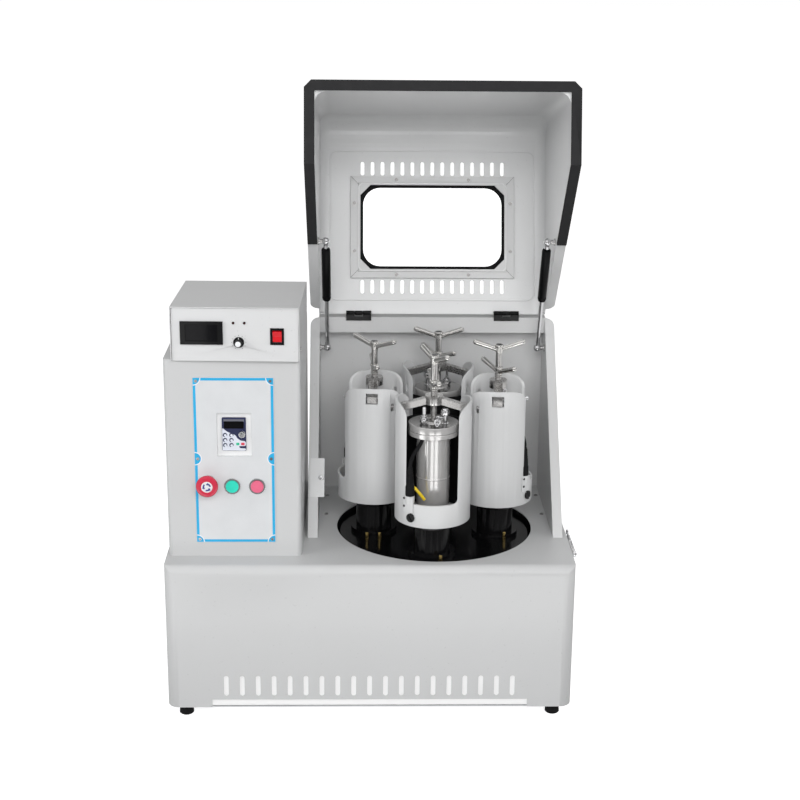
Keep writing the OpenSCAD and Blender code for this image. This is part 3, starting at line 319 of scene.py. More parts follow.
def plastic(name, colour, roughness, grain=1400.0, depth=0.00003, coat=0.0, shine=0.4):
    finish = Finish(name, Coat_Weight=coat, Coat_Roughness=0.05, Specular_IOR_Level=shine)
    wipe = finish.noise(30.0, 4.0)
    skin = finish.mix(wipe, darker(colour, 0.12), colour)
    return finish.surface(skin, roughness - 0.04 + wipe * 0.08, finish.noise(grain), depth)


def rubber(name, colour, roughness=0.72, grain=700.0, dusty=0.006):
    finish = Finish(name, Specular_IOR_Level=0.15)
    dust = finish.between(0.45, 0.75, finish.noise(45.0, 4.0))
    skin = finish.mix(dust, colour, tuple(channel + dusty for channel in colour))
    return finish.surface(skin, roughness + dust * 0.12, finish.noise(grain, 3.0), 0.0001, 0.7)


def acrylic(name):
    finish = Finish(name, Transmission_Weight=1.0, IOR=1.3)
    dust = finish.between(0.6, 0.8, finish.noise(120.0, 4.0))
    clear = finish.mix(dust, (1.0, 1.0, 1.0), (0.985, 0.99, 0.99))
    return finish.into(Base_Color=clear, Roughness=dust * 0.02)


def lens(name, colour, glow=0.0):
    """A translucent moulded cap: a saturated body under a polished face; any glow it is given is painted
    light, as no cap here is a lamp.
    """
    finish = Finish(name, Coat_Weight=0.25, Coat_Roughness=0.08, Specular_IOR_Level=0.3)
    cloud = finish.noise(160.0)
    shade = finish.mix(cloud, darker(colour, 0.1), colour)
    # Painted light: the emission makes the cap's own colour shine, though nothing in it is lit.
    finish.into(Emission_Color=shade, Emission_Strength=glow)
    return finish.surface(shade, 0.18 + cloud * 0.08, finish.noise(900.0), 0.00001, 0.3)


# %% [markdown]
# Each solid carries the name of its material slot from the record, and a finish of the same name goes with
# each. A jar holder is one solid with its black spindle, so its finish changes tone at the cup's floor.

# %% A finish for every slot
cup_floor = 366.2
soot = (0.004, 0.004, 0.0045)
powder_coat("cabinet_paint", (0.565, 0.57, 0.573))
powder_coat("hood_paint", (0.70, 0.704, 0.707), 0.36, 0.5, gloss=0.45)
powder_coat("chamber_paint", (0.605, 0.608, 0.61))
powder_coat("grey_paint", (0.50, 0.51, 0.52))
powder_coat("black_paint", soot, 0.18, 0.3, 0.3, 0.22)
powder_coat("box_front_paint", (0.67, 0.675, 0.68), 0.3, 0.4)
powder_coat("box_cover_paint", (0.58, 0.583, 0.586), 0.4, 1.6)
powder_coat("motor_paint", (0.07, 0.1, 0.13))
plastic("panel_film", (0.685, 0.70, 0.715), 0.34, 600.0, 0.00001)
plastic("keypad_plastic", (0.02, 0.022, 0.03), 0.4, shine=0.2)
plastic("knob_plastic", (0.3, 0.31, 0.33), 0.35)
plastic("black_plastic", (0.007, 0.007, 0.0075), 0.38, shine=0.2)
plastic("black_gloss", (0.006, 0.006, 0.0065), 0.2, 500.0, 0.000005, 0.08, 0.2)
# These buttons get a painted glow: none of them is lit, and the emission only brightens their colour.
lens("red_gloss", (0.58, 0.024, 0.06), 0.04)
lens("red_cap_gloss", (0.74, 0.14, 0.24), 0.12)
lens("green_gloss", (0.03, 0.62, 0.47), 0.22)
lens("rocker_red", (0.66, 0.012, 0.02), 0.05)
worked_steel("zinc_plate", (0.50, 0.51, 0.52), 0.3, (300, 300, 300))
worked_steel("bright_steel", (0.58, 0.57, 0.56), 0.2, (40, 40, 900))
worked_steel("gear_steel", (0.48, 0.48, 0.49), 0.35, (500, 500, 60))
worked_steel("jar_steel", (0.84, 0.83, 0.82), 0.17, (14, 14, 2600), 0.00001, 0.08, 0.66)
worked_steel("clamp_steel", (0.56, 0.55, 0.54), 0.27, (900, 60, 900), 0.00004)
cast_steel("lever_steel", (0.66, 0.65, 0.63), 0.12)
chrome("polished_chrome", (0.74, 0.74, 0.75))
worked_steel("pulley_alloy", (0.64, 0.65, 0.66), 0.3, (30, 30, 1500))
rubber("belt_rubber", (0.02, 0.02, 0.02))
rubber("black_rubber", (0.006, 0.006, 0.0065))
rubber("seal_foam", (0.026, 0.026, 0.027), 0.85, 1500.0)
plastic("strut_black", soot, 0.35, 300.0, 0.00001, 0.0, 0.1)
two_tone("holder_enamel", (0.625, 0.63, 0.633), soot, cup_floor * mm)
acrylic("clear_acrylic")
print("finishes:", len(finishes))

# %% [markdown]
# Sheet metal is never sharp: a fold has a radius, and a cut edge is broken before it is painted. A bevel
# rounds every edge that turns by more than 28 degrees and catches the thin highlight that makes a folded box
# read as metal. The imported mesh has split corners, so a weld comes first.

# %% Dress the solids
edge_round = {
    1.0: "drive_motor clamp_beam_1 clamp_beam_2 clamp_beam_3 clamp_beam_4",
    0.9: "base_shell control_tower turntable",
    0.8: "window_frame lid_seal rubber_feet jar_holder_1 jar_holder_2 jar_holder_3 jar_holder_4",
    0.7: "lid_shell chamber_shell power_box_cover power_rocker",
    0.6: "power_box_chassis turntable_well drive_belt",
    0.5: "rear_panel voltage_meter hinge_fixed_leaves hinge_lid_leaves draw_latch_lever start_button "
    "stop_button base_floor",
    0.4: "power_inlet",
    0.35: "button_collars",
    0.3: "control_panel body_screws lid_screws lid_window",
}
edge_of = {name: size for size, names in edge_round.items() for name in names.split()}


def rounded(thing, radius):
    """Welds a mesh and rounds its sharp edges, with the flat faces kept flat in the shading."""
    weld = thing.modifiers.new("weld", "WELD")
    weld.merge_threshold = 0.002 * mm
    bevel = thing.modifiers.new("broken_edges", "BEVEL")
    bevel.width = radius * mm
    bevel.segments = 2
    bevel.limit_method = "ANGLE"
    bevel.angle_limit = math.radians(28)
    bevel.harden_normals = True
    bevel.use_clamp_overlap = True


for name, solid in frame["nodes"].items():
    slot_name = solid.data.materials[0].name.split(".")[0]
    solid.data.materials[0] = finishes[slot_name].material
    if name in edge_of:
        rounded(solid, edge_of[name])
print("solids with rounded edges:", len(edge_of))

# %% [markdown]
# ## Camera, room and lamps
# The picture was taken from a little over the hood's height, three metres away, with a long lens aimed down
# by some sixteen degrees. The numbers come from fitting the machine's corners to where they fall in the
# photograph.

# %% The camera
camera_at = Vector((-17.3, -2865.5, 1404.6))
camera_yaw, camera_pitch, camera_roll = 0.0257, 0.2896, 0.0095
camera = bpy.data.objects.new("camera", bpy.data.cameras.new("camera"))
bpy.context.scene.collection.objects.link(camera)
bpy.context.scene.camera = camera
camera.data.sensor_width = 36
camera.data.lens = 70.55
level = Vector((math.cos(camera_yaw), -math.sin(camera_yaw), 0))
forward = Vector((math.sin(camera_yaw), math.cos(camera_yaw), 0)) * math.cos(camera_pitch)
forward.z = -math.sin(camera_pitch)
upright = level.cross(forward)
right = math.cos(camera_roll) * level + math.sin(camera_roll) * upright
up = math.cos(camera_roll) * upright - math.sin(camera_roll) * level
turned_to = Matrix((right, up, -forward)).transposed().to_4x4()
camera.matrix_world = Matrix.Translation(machine @ camera_at) @ turned_to
print("camera is", round((machine @ camera_at).length, 2), "m from the origin")

# %% [markdown]
# The machine stands on a pale floor in front of nothing: floor and world are white to the camera and through
# the window. Mirror reflections see a sky that grows from dim to bright and a dim floor, or polished steel
# would look like white paint. Diffuse surfaces get a grey world, which leaves room for the lamps to shape
# the sheet metal. The floor adds a little light of its own for the camera, and so turns white while it still
# shows the soft shadow under the feet.

# %% World and floor
ambient = 0.36
world = bpy.data.worlds.new("studio")
bpy.context.scene.world = world
air = Nodes(world)


def ray(nodes, *kinds):
    """1 for a ray of one of the kinds named, else 0."""
    first, *others = [nodes.node("ShaderNodeLightPath", f"Is {kind} Ray") for kind in kinds]
    for other in others:
        first = first.math("MAXIMUM", other)
    return first


clear = ray(air, "Camera", "Transmission")
direction = air.node("ShaderNodeTexCoord", "Generated")
sky = air.between(0.12, 0.5, air.height(direction), 0.22, 1.15)
background = air.tree.nodes["Background"]
air.feed(background.inputs["Color"], (1.0, 1.0, 1.0))
strength = ambient + clear * (1.0 - ambient) + ray(air, "Glossy") * (sky - ambient)
air.feed(background.inputs["Strength"], strength)


def flat_sheet(name, corners, finish):
    """One rectangle of the studio, which is no part of the machine."""
    mesh = bpy.data.meshes.new(name)
    mesh.from_pydata([tuple(corner) for corner in corners], [], [(0, 1, 2, 3)])
    mesh.materials.append(finish.material)
    thing = bpy.data.objects.new(name, mesh)
    bpy.context.scene.collection.objects.link(thing)
    thing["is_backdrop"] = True
    return thing


floor_half, floor_glow, mirror_glow = 30.0, 0.76, 0.28
floor_paint = Finish("floor", Roughness=0.9, Specular_IOR_Level=0.0)
floor_tone = floor_paint.mix(ray(floor_paint, "Diffuse"), (0.86, 0.86, 0.86), (0.45, 0.45, 0.45))
floor_paint.into(Base_Color=floor_tone)
glow = ray(floor_paint, "Camera", "Transmission") * floor_glow + ray(floor_paint, "Glossy") * mirror_glow
lift = floor_paint.node("ShaderNodeEmission", Strength=glow)
matt = Wire(floor_paint, floor_paint.shader.outputs["BSDF"])
lit = floor_paint.node("ShaderNodeAddShader", Shader=matt, Shader_001=lift)
floor_paint.feed(floor_paint.tree.nodes["Material Output"].inputs["Surface"], lit)
unit_corners = ((-1, -1), (1, -1), (1, 1), (-1, 1))
flat_sheet("floor", [(x * floor_half, y * floor_half, 0) for x, y in unit_corners], floor_paint)
print("floor:", 2 * floor_half, "m wide")

# %% [markdown]
# A studio hangs dark cloth beside the lamps, and the dark streaks that it leaves on a jar make it read as
# metal. Three strips in greys of their own stand before the machine for that. The folds of a painted hood
# show as fine bright lines, because a fold is a narrow mirror, and a long bright card before the machine is
# what they reflect. Only mirror reflections see strips and card, and they throw no shadow.

# %% Strips and a card for the metal to mirror


def mirror_sheet(name, corners, glow):
    """A sheet that shines with a strength and is there for mirror reflections alone."""
    cloth = Finish(f"{name}_cloth", Base_Color=(0, 0, 0), Specular_IOR_Level=0.0, Emission_Strength=glow)
    thing = flat_sheet(name, corners, cloth)
    thing.visible_camera = thing.visible_diffuse = thing.visible_shadow = thing.visible_transmission = False


strip_far, strip_top = 0.8, Vector((0, 0, 0.9))
strip_list = ((-27, 0.14, 0.28), (3, 0.04, 0.05), (38, 0.18, 0.28))
for number, (bearing, half_width, shade) in enumerate(strip_list):
    away = turn(bearing, "Z") @ Vector((0, -1, 0))
    across = Vector((-away.y, away.x, 0)) * half_width
    foot = machine @ Vector((turntable_axis.x, turntable_axis.y, 0)) + away * strip_far
    corners = [foot - across, foot + across, foot + across + strip_top, foot - across + strip_top]
    mirror_sheet(f"dark_strip_{number}", corners, shade)
card_middle, card_half, card_deep, card_up = -0.785, 1.2, 0.165, 0.02
card_corners = [(x * card_half, card_middle - y * card_deep, card_up) for x, y in unit_corners]
mirror_sheet("bright_card", card_corners, 4.0)
print("strips:", len(strip_list), "and a card", 2 * card_deep, "m deep")

# %% [markdown]
# The fronts of the machine are its lightest faces and its tops are a step darker, so the main lamp is a wide
# soft one beside the camera, not a sky. Two weaker ones fill the sides.

# %% Lamps
target = machine @ Vector((0, 0, 450))


def soft_lamp(name, place, size, power):
    """A lamp that looks at the machine, its place given in metres; reflections don't see it."""
    lamp = bpy.data.lights.new(name, "AREA")
    lamp.shape = "RECTANGLE"
    lamp.size, lamp.size_y = size
    lamp.energy = power
    holder = bpy.data.objects.new(name, lamp)
    bpy.context.scene.collection.objects.link(holder)
    holder.location = place
    holder.rotation_mode = "QUATERNION"
    holder.rotation_quaternion = (target - holder.location).to_track_quat("-Z", "Y")
    holder.visible_glossy = False


soft_lamp("front_lamp", (0.22, -3.5, 2.2), (2.6, 1.8), 96)
soft_lamp("left_lamp", (-3.2, -1.8, 1.6), (1.6, 2.0), 42)
soft_lamp("right_lamp", (3.0, -1.2, 1.8), (1.6, 2.0), 14)
bpy.context.scene.view_settings.view_transform = "Standard"

# %% [markdown]
# ## Drawing meshes
# Turned parts are a half profile spun about an axis, levers and leads a round section carried along a line,
# plates an outline raised to a thickness. Small helpers draw these as plain vertices and faces, in
# millimetres. Curves with a bevel would do for the tubes, but a mesh can be joined to others.

# %% Helpers that draw


def skinned(rings, closed=False):
    """Faces between rings of as many points, with a cap at both ends or back round to the first ring."""
    drawing = bmesh.new()
    rings = [[drawing.verts.new(point) for point in ring] for ring in rings]
    if not closed:
        drawing.faces.new(rings[0][::-1])
        drawing.faces.new(rings[-1])
    for low, high in zip(rings, rings[1:] + rings[:1] if closed else rings[1:]):
        for k in range(len(low)):
            after = (k + 1) % len(low)
            drawing.faces.new([low[k], low[after], high[after], high[k]])
    return drawing


def circle(steps):
    """The angles that cut a circle in equal steps."""
    return [2 * math.pi * k / steps for k in range(steps)]


def around(radius, height, steps):
    """A ring of points about Z; the radius is a number or a function of the angle."""
    sizes = [(t, radius(t) if callable(radius) else radius) for t in circle(steps)]
    return [(size * math.cos(t), size * math.sin(t), height) for t, size in sizes]


def lathe(profile, steps=64):
    """Turns a half profile of (radius, height) points about Z."""
    drawing = bmesh.new()
    rings = []
    for radius, height in profile:
        if radius < 1e-6:
            rings.append([drawing.verts.new((0, 0, height))] * steps)
        else:
            rings.append([drawing.verts.new(point) for point in around(radius, height, steps)])
    for low, high in zip(rings, rings[1:]):
        for k in range(steps):
            corners = list(dict.fromkeys([low[k], low[(k + 1) % steps], high[(k + 1) % steps], high[k]]))
            if len(corners) > 2:
                drawing.faces.new(corners)
    return drawing


def turned(profile, steps=24):
    """A lathe drawing with flat ends that close on the axis."""
    return lathe([(0, profile[0][1]), *profile, (0, profile[-1][1])], steps)


def rod(radius, low, high, steps=24):
    return turned([(radius, low), (radius, high)], steps)


def prism(outline, low, high):
    """Raises a flat outline of (x, y) points from one height to another."""
    return skinned([[(x, y, z) for x, y in outline] for z in (low, high)])


def tube(line, radius, sides=16):
    """Carries a round section along a line; the radius is one number or one for each point."""
    points = [Vector(point) for point in line]
    last = len(points) - 1
    radii = radius if hasattr(radius, "__len__") else [radius] * len(points)
    ways = [(points[min(k + 1, last)] - points[max(k - 1, 0)]).normalized() for k in range(len(points))]
    across = ways[0].orthogonal().normalized()
    rings = []
    for point, way, size in zip(points, ways, radii):
        across = (across - way * across.dot(way)).normalized()
        over = way.cross(across)
        rings.append([point + size * (math.cos(t) * across + math.sin(t) * over) for t in circle(sides)])
    return skinned(rings)


def smoothed(line, steps=6):
    """A finer line through the same points."""
    points = [Vector(point) for point in line]
    finer = []
    for before, start, end, after in zip(points[:1] + points, points, points[1:], points[2:] + points[-1:]):
        for step in range(steps):
            t = step / steps
            bend = 2 * before - 5 * start + 4 * end - after
            twist = 3 * start - before - 3 * end + after
            finer.append(0.5 * (2 * start + (end - before) * t + bend * t**2 + twist * t**3))
    return finer + [points[-1]]


def block(low, high):
    """A box between two corners."""
    (x0, y0, z0), (x1, y1, z1) = low, high
    return prism([(x0, y0), (x1, y0), (x1, y1), (x0, y1)], z0, z1)


def moved(drawing, *matrices):
    """Places a drawing by one matrix after another, the last one first."""
    place = Matrix.Identity(4)
    for matrix in matrices:
        place = place @ matrix
    drawing.transform(place)
    return drawing


def joined(*drawings):
    """Several drawings as one."""
    whole = bmesh.new()
    for drawing in drawings:
        part = bpy.data.meshes.new("part")
        drawing.to_mesh(part)
        drawing.free()
        whole.from_mesh(part)
        bpy.data.meshes.remove(part)
    return whole


def arc(middle, radius, start, end, steps):
    """Points of an arc in degrees, as (x, y)."""
    turns = [math.radians(start + (end - start) * k / steps) for k in range(steps + 1)]
    return [(middle[0] + radius * math.cos(t), middle[1] + radius * math.sin(t)) for t in turns]


towards_front = turn(90, "X")
towards_right = turn(90, "Y")

# %% [markdown]
# Every drawing becomes a piece in the same way: its normals are set right, it is carried into the frame,
# shaded smooth except over real corners, given its finish, and tied to the body that it moves with.

# %% From a drawing to a piece


def piece(name, drawing, place, body, slot_name, finish=None, corner=35, edge=0.0):
    bmesh.ops.recalc_face_normals(drawing, faces=drawing.faces)
    drawing.transform(machine @ place)
    mesh = bpy.data.meshes.new(name)
    drawing.to_mesh(mesh)
    drawing.free()
    for face in mesh.polygons:
        face.use_smooth = True
    mesh.set_sharp_from_angle(angle=math.radians(corner))
    mesh.materials.append((finish or finishes[slot_name]).material)
    thing = bpy.data.objects.new(name, mesh)
    bpy.context.scene.collection.objects.link(thing)
    if edge:
        rounded(thing, edge)
    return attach(thing, body)


here = Matrix.Identity(4)
jar_numbers = range(1, 5)

# %% [markdown]
# ## The jars
# A jar is turned from a stainless bar: a body with a weld bead, a flange, a gasket and a lid with a boss
# that the clamp screw presses on. The solid has those steps already. The meshes add the fillet under the
# flange, the groove between the plates and the broken edges.

# %% Body, gasket and lid
jar_low, jar_neck, lid_low, jar_top = 372.5, 527.0, 536.5, 549.5
jar_r, flange_r, boss_r = 31.0, 46.0, 17.0
bead_low, bead_out, fillet_r = jar_low + 72, 0.9, 3
bead = [(jar_r + bead_out * math.sin(math.pi * k / 6), bead_low + 0.5 * k) for k in range(7)]
fillet = arc((jar_r + fillet_r, jar_neck - fillet_r), fillet_r, 180, 90, 6)
body_profile = [(jar_r - 1.5, jar_low), (jar_r - 0.4, jar_low + 0.5), (jar_r, jar_low + 1.6), *bead, *fillet,
    (flange_r - 0.8, jar_neck), (flange_r, jar_neck + 0.8), (flange_r, lid_low - 1.3),
    (flange_r - 0.7, lid_low - 0.6), (27, lid_low - 0.6)]
lid_profile = [(flange_r - 0.8, lid_low), (flange_r, lid_low + 0.8), (flange_r, jar_top - 1.2),
    (flange_r - 0.4, jar_top - 0.4), (flange_r - 1.2, jar_top), (boss_r + 2.5, jar_top),
    (boss_r + 2.2, jar_top - 0.5), (boss_r + 0.6, jar_top - 0.5), (boss_r + 0.3, jar_top),
    (boss_r, jar_top + 0.3), (boss_r, jar_top + 1.9), (boss_r - 0.6, jar_top + 2.5)]
gasket_r = flange_r - 2.2
gasket_profile = [(gasket_r, lid_low - 0.7), (gasket_r + 0.3, lid_low - 0.3), (gasket_r, lid_low + 0.1)]
face_profile = [(boss_r + 3, jar_top - 0.5), (flange_r - 1.6, jar_top - 0.5),
    (flange_r - 1.6, jar_top + 0.1), (flange_r - 1.9, jar_top + 0.15), (boss_r + 3, jar_top + 0.15),
    (boss_r + 3, jar_top - 0.5)]
faced = worked_steel("faced_steel", (0.34, 0.335, 0.33), 0.24, (900, 900, 14), 0.00001, 0.1)


def on_jar(number, name, drawing, slot_name, finish=None, **looks):
    """A piece that is drawn in a jar's place and turns with its holder."""
    return piece(f"{name}_{number}", drawing, planet(number), f"planet_{number}", slot_name, finish, **looks)


for n in jar_numbers:
    body = on_jar(n, "jar_body", turned(body_profile, 96), "jar_steel", corner=40)
    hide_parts(f"jar_{n}")
    on_jar(n, "jar_lid", turned(lid_profile, 96), "jar_steel", corner=30)
    on_jar(n, "jar_gasket", turned(gasket_profile, 64), "black_rubber")
    on_jar(n, "jar_lid_face", lathe(face_profile, 96), "jar_steel", faced)
print("jar height without its fittings:", jar_top - jar_low)

# %% [markdown]
# On the lid stand two needle valves and a pipe with a fitting. A hexagon bar is turned down at its ends, so
# its six corners are cut by a cone, as on the nut here. One valve ends in a hose barb, a row of sharp cones
# that a hose slides over and doesn't slide back from.

# %% Valves, barb and pipe


def hex_nut(across, low, high, cut=0.6):
    """A hexagon between two heights whose corners are cut back at both ends."""
    side = math.pi / 3

    def hexagon(t):
        return across / 2 / math.cos((t + side / 2) % side - side / 2)

    def chamfered(t):
        return min(hexagon(t), across / 2 - 0.2)

    levels = ((chamfered, low), (hexagon, low + cut), (hexagon, high - cut), (chamfered, high))
    return skinned([around(size, height, 24) for size, height in levels])


valve_spots = {"barbed": (14, -17, 0), "closed": (10, 21, 14)}
pipe_z = 561
barb = [(0, 0), (3.2, 0), (3.2, 3)]
barb += [point for k in range(4) for point in ((4.0, 4 + 3.2 * k), (2.7, 6.8 + 3.2 * k))]
barb += [(2.2, 17), (1.5, 17.2), (1.5, 12), (0, 12)]


def valve(x, y, lift):
    """One valve: stem, nut and collar, and a barb on the low one."""
    foot = jar_top + 2 + lift
    stem = [(6.2, jar_top - 0.5), (6.2, jar_top + 1.2), (4, jar_top + 1.8), (4, foot + 1)]
    collar = [(5.2, foot + 9), (5.6, foot + 10), (5.6, foot + 12.4), (5.0, foot + 13)]
    parts = [turned(stem, 32), hex_nut(13.6, foot, foot + 9.5), turned(collar, 32)]
    if lift == 0:
        parts.append(moved(lathe(barb, 32), shift(0, 0, foot + 12.6)))
    return moved(joined(*parts), shift(x, y, 0))


def side_pipe():
    """A pipe that lies over the lid, its fitting, the elbow to the closed valve, and its riser."""
    run = [(3.4, 0), (3.4, 20), (4.2, 20.5), (4.2, 29), (3.4, 29.5), (3.4, 43), (2.9, 44), (2.2, 44),
        (2.2, 38)]
    nut = moved(hex_nut(11.2, 20.5, 28.5), turn(30, "Z"))
    elbow = turned([(2.6, 0), (2.6, 13.6), (2.2, 14)])
    riser = turned([(4.4, jar_top - 0.5), (4.4, pipe_z + 2.4), (3, pipe_z + 4.2)], 32)
    return joined(
        moved(joined(turned(run, 32), nut), shift(14, 8, pipe_z), towards_right),
        moved(elbow, shift(10, 21, pipe_z), turn(-62, "Z"), towards_right),
        moved(riser, shift(16, 8, 0)),
    )


for n in jar_numbers:
    for label, spot in valve_spots.items():
        on_jar(n, f"{label}_valve", valve(*spot), "polished_chrome")
    on_jar(n, "side_pipe", side_pipe(), "polished_chrome")
print("valves:", 2 * len(jar_numbers))

# %% [markdown]
# A black lead leaves the jar under its flange and ends in a moulded boot in a white bracket on the holder's
# edge. It is captive and a hand's width long, so it is made as it lies. The boot has flex ribs, and a short
# yellow earth wire comes out beside it.

# %% Lead, boot and bracket
boot_at = Vector((53, -39.5))
outward = turn(math.degrees(math.atan2(boot_at.y, boot_at.x)), "Z")
bracket_low, bracket_top, bracket_inner, bracket_outer, bracket_half = 393, 424, 70.1, 73, 9
lead_line = [(37, -20, 527), (37, -20, 523), (38.5, -22, 518), (42, -26, 512), (46, -31, 505),
    (50, -35.5, 497), (52.4, -38.6, 488), (*boot_at, 480), (*boot_at, 474)]
ribs = []
for k in range(5):
    size, low = 6.6 - 0.35 * k, 455 + 4.4 * k
    ribs += [(size, low), (size, low + 2.4), (size - 1.1, low + 3), (size - 1.1, low + 4)]
boot_profile = [(8.0, bracket_top), (8.4, bracket_top + 1), (8.4, 441), (7.8, 443), (7.2, 444), (7.0, 452),
    (6.8, 454), *ribs, (4.4, 478), (3.4, 479)]
wire_line = [(boot_at.x - 4, boot_at.y + 4, 440), (49.5, -31, 437), (46.5, -25.5, 430), (43.5, -20, 422),
    (41, -15.5, 415), (40, -13.5, 412)]
wire_finish = plastic("yellow_wire", (0.86, 0.62, 0.03), 0.35, 900.0, 0.00001)


def bracket():
    """A socket on the holder's edge and the plate that is screwed to the holder."""
    socket = turned([(8.4, bracket_top - 13.9), (8.4, bracket_top - 0.6), (7.8, bracket_top)], 48)
    half = bracket_half
    outline = arc((0, 0), bracket_inner, -half, half, 10) + arc((0, 0), bracket_outer, half, -half, 10)
    return joined(moved(socket, shift(66.1, 0, 0)), prism(outline, bracket_low, bracket_top - 2))


def bracket_screws():
    """Two small screws on the plate, one above the other."""
    head = [(0, 0), (2.2, 0), (2.2, 0.7), (1.5, 1.3), (0, 1.4)]
    places = [turn(-6.5, "Z") @ shift(72.9, 0, z) @ towards_right for z in (404, 419)]
    return joined(*(moved(lathe(head, 24), place) for place in places))


def round_clip():
    """The black quarter-turn clip under the bracket, a disc with a slit."""
    clip_r, clip_t, slit = 8.2, 3.0, 16
    halves = [prism(arc((0, 0), clip_r, start, start + 180 - slit, 14), 0, clip_t) for start in (8, 188)]
    return moved(joined(*halves), turn(5, "Z"), shift(70.6, 0, 383.6), towards_right, turn(35, "Z"))


for n in jar_numbers:
    on_jar(n, "lead", tube(smoothed(lead_line), 3.4), "black_rubber")
    on_jar(n, "boot", moved(turned(boot_profile, 48), shift(*boot_at, 0)), "black_rubber")
    on_jar(n, "earth_wire", tube(smoothed(wire_line), 3.0), "black_plastic", wire_finish)
    on_jar(n, "bracket", moved(bracket(), outward), "holder_enamel", edge=0.4)
    on_jar(n, "bracket_screws", moved(bracket_screws(), outward), "black_plastic")
    on_jar(n, "round_clip", moved(round_clip(), outward), "black_plastic")
print("lead and boot reach from", bracket_top, "to", round(lead_line[0][2]), "mm")

# %% [markdown]
# A black rubber sleeve lines the rear half of each cup and stands up behind the jar, so that a loose jar
# meets rubber before the hub. It is why the gap beside the front jar is black although the lobes are white
# inside. A thin ring of the same rubber lies round the cup's floor.

# %% Sleeves
cup_floor_top, ring_top, sleeve_top = 372.5, 381.0, 545.0
sleeve_inner, sleeve_r = 64.0, 65.85


def sleeve():
    """A ring round the cup's floor and a bent sheet over the half that faces the turntable's axis."""
    foot, head = (sleeve_inner, cup_floor_top), (sleeve_inner, ring_top)
    ring = lathe([foot, (sleeve_r, cup_floor_top), (sleeve_r, ring_top), head, foot], 96)
    outline = arc((0, 0), sleeve_r, 92, 268, 44) + arc((0, 0), sleeve_inner, 268, 92, 44)
    return joined(ring, prism(outline, ring_top, sleeve_top))


for n in jar_numbers:
    on_jar(n, "sleeve", sleeve(), "black_rubber")
print("sleeves:", len(jar_numbers))

# %% [markdown]
# ## Levers and screws
# A wing lever is one casting: a flared hub and two round arms, with a fillet where they meet. Modelling that
# face by face takes long. Instead the three parts are drawn through each other, remeshed to one skin of
# small even faces, and smoothed, which rounds every inner corner the way a mould does.

# %% Cast levers
hub_h, hub_r, arm_len, arm_r, arm_rise = 17.0, 8.4, 47.0, 4.9, 19.0
wing_z, wing_turn = (667, 659, 652, 660), (-62, 0, -3, -36)
lock_z, lock_turn = (620, 616, 612, 616), (-82, -55, -50, -84)


def lever(foot):
    """A hub on the origin with its two arms along X; the foot is the start of the hub's profile."""
    hub = turned([*foot, (6.5, 1.2), (6.6, hub_h - 5.5), (hub_r, hub_h - 4), (hub_r, hub_h)], 48)
    line = [0, 8, 14, 30, arm_len - 6, arm_len - 1]
    size = [4.9, 4.7, 4.5, 4.7, arm_r + 0.1, arm_r + 0.2]
    for degrees in range(0, 90, 15):
        line.append(arm_len + arm_r * math.sin(math.radians(degrees)))
        size.append((arm_r + 0.2) * math.cos(math.radians(degrees)))
    root = shift(0, 0, hub_h / 2 - 2) @ turn(-arm_rise, "Y")
    arms = [moved(tube([(at, 0, 0) for at in line], size, 24), turn(side, "Z"), root) for side in (0, 180)]
    return joined(hub, *arms)


def cast(thing):
    """One skin of even faces over everything drawn, then smoothed."""
    skin = thing.modifiers.new("one_skin", "REMESH")
    skin.mode = "VOXEL"
    skin.voxel_size = 0.8 * mm
    skin.use_smooth_shade = True
    soft = thing.modifiers.new("fillets", "SMOOTH")
    soft.factor = 0.5
    soft.iterations = 3


def room_place(number, z=0, degrees=0):
    """On a jar's axis, turned by the lever's direction in the room."""
    axis = joint_at(f"planet_{number}_spin")
    return shift(axis.x, axis.y, z) @ turn(degrees, "Z")


lever_kinds = (
    ("wing_lever", [(5.8, 0)], wing_z, wing_turn, "clamp_screw", "wing_screw"),
    ("lock_lever_cast", [(7.1, -2.6), (7.1, 0)], lock_z, lock_turn, "lock_nut", "lock_lever"),
)
for n in jar_numbers:
    for name, foot, heights, turns, body, solid in lever_kinds:
        place = room_place(n, heights[n - 1] - hub_h / 2, turns[n - 1])
        made = piece(f"{name}_{n}", lever(foot), place, f"{body}_{n}", "lever_steel")
        cast(made)
        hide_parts(f"{solid}_{n}")
print("cast levers:", 2 * len(jar_numbers))

# %% [markdown]
# The clamp screw runs from a pressure pad on the jar's boss, through beam and lower lever, into the upper
# one. Below the lower lever its thread is real geometry: a cylinder whose radius follows a saw tooth that
# climbs one pitch with each turn. Rings would look much the same from the side, but a thread catches the
# light in a slant.

# %% Clamp screws
screw_r, screw_pitch, screw_foot, thread_depth = 6.0, 1.75, 552.2, 0.75


def threaded_rod(low, high, per_pitch=4):
    """A rod with a true helical thread and plain ends."""
    levels = int((high - low) / screw_pitch * per_pitch)
    rings = []
    for level in range(levels + 1):
        z = low + (high - low) * level / levels
        ends = min(1, level / per_pitch, (levels - level) / per_pitch)

        def size(t):
            phase = (z / screw_pitch - t / (2 * math.pi)) % 1
            return screw_r - thread_depth * ends * (1 - abs(2 * phase - 1))

        rings.append(around(size, z, 24))
    return skinned(rings)


def clamp_screw(number):
    top = wing_z[number - 1] - hub_h / 2 + 3
    nut_top = lock_z[number - 1] + hub_h / 2 - 2
    pad = [(8.2, 0), (9, 0.8), (9, 4.4), (8.4, 5)]
    plain = [(screw_r - 0.5, nut_top - 1), (screw_r - 0.1, nut_top + 1), (screw_r - 0.1, top)]
    return joined(moved(turned(pad, 48), shift(0, 0, screw_foot)), threaded_rod(screw_foot + 4, nut_top),
        turned(plain, 48))


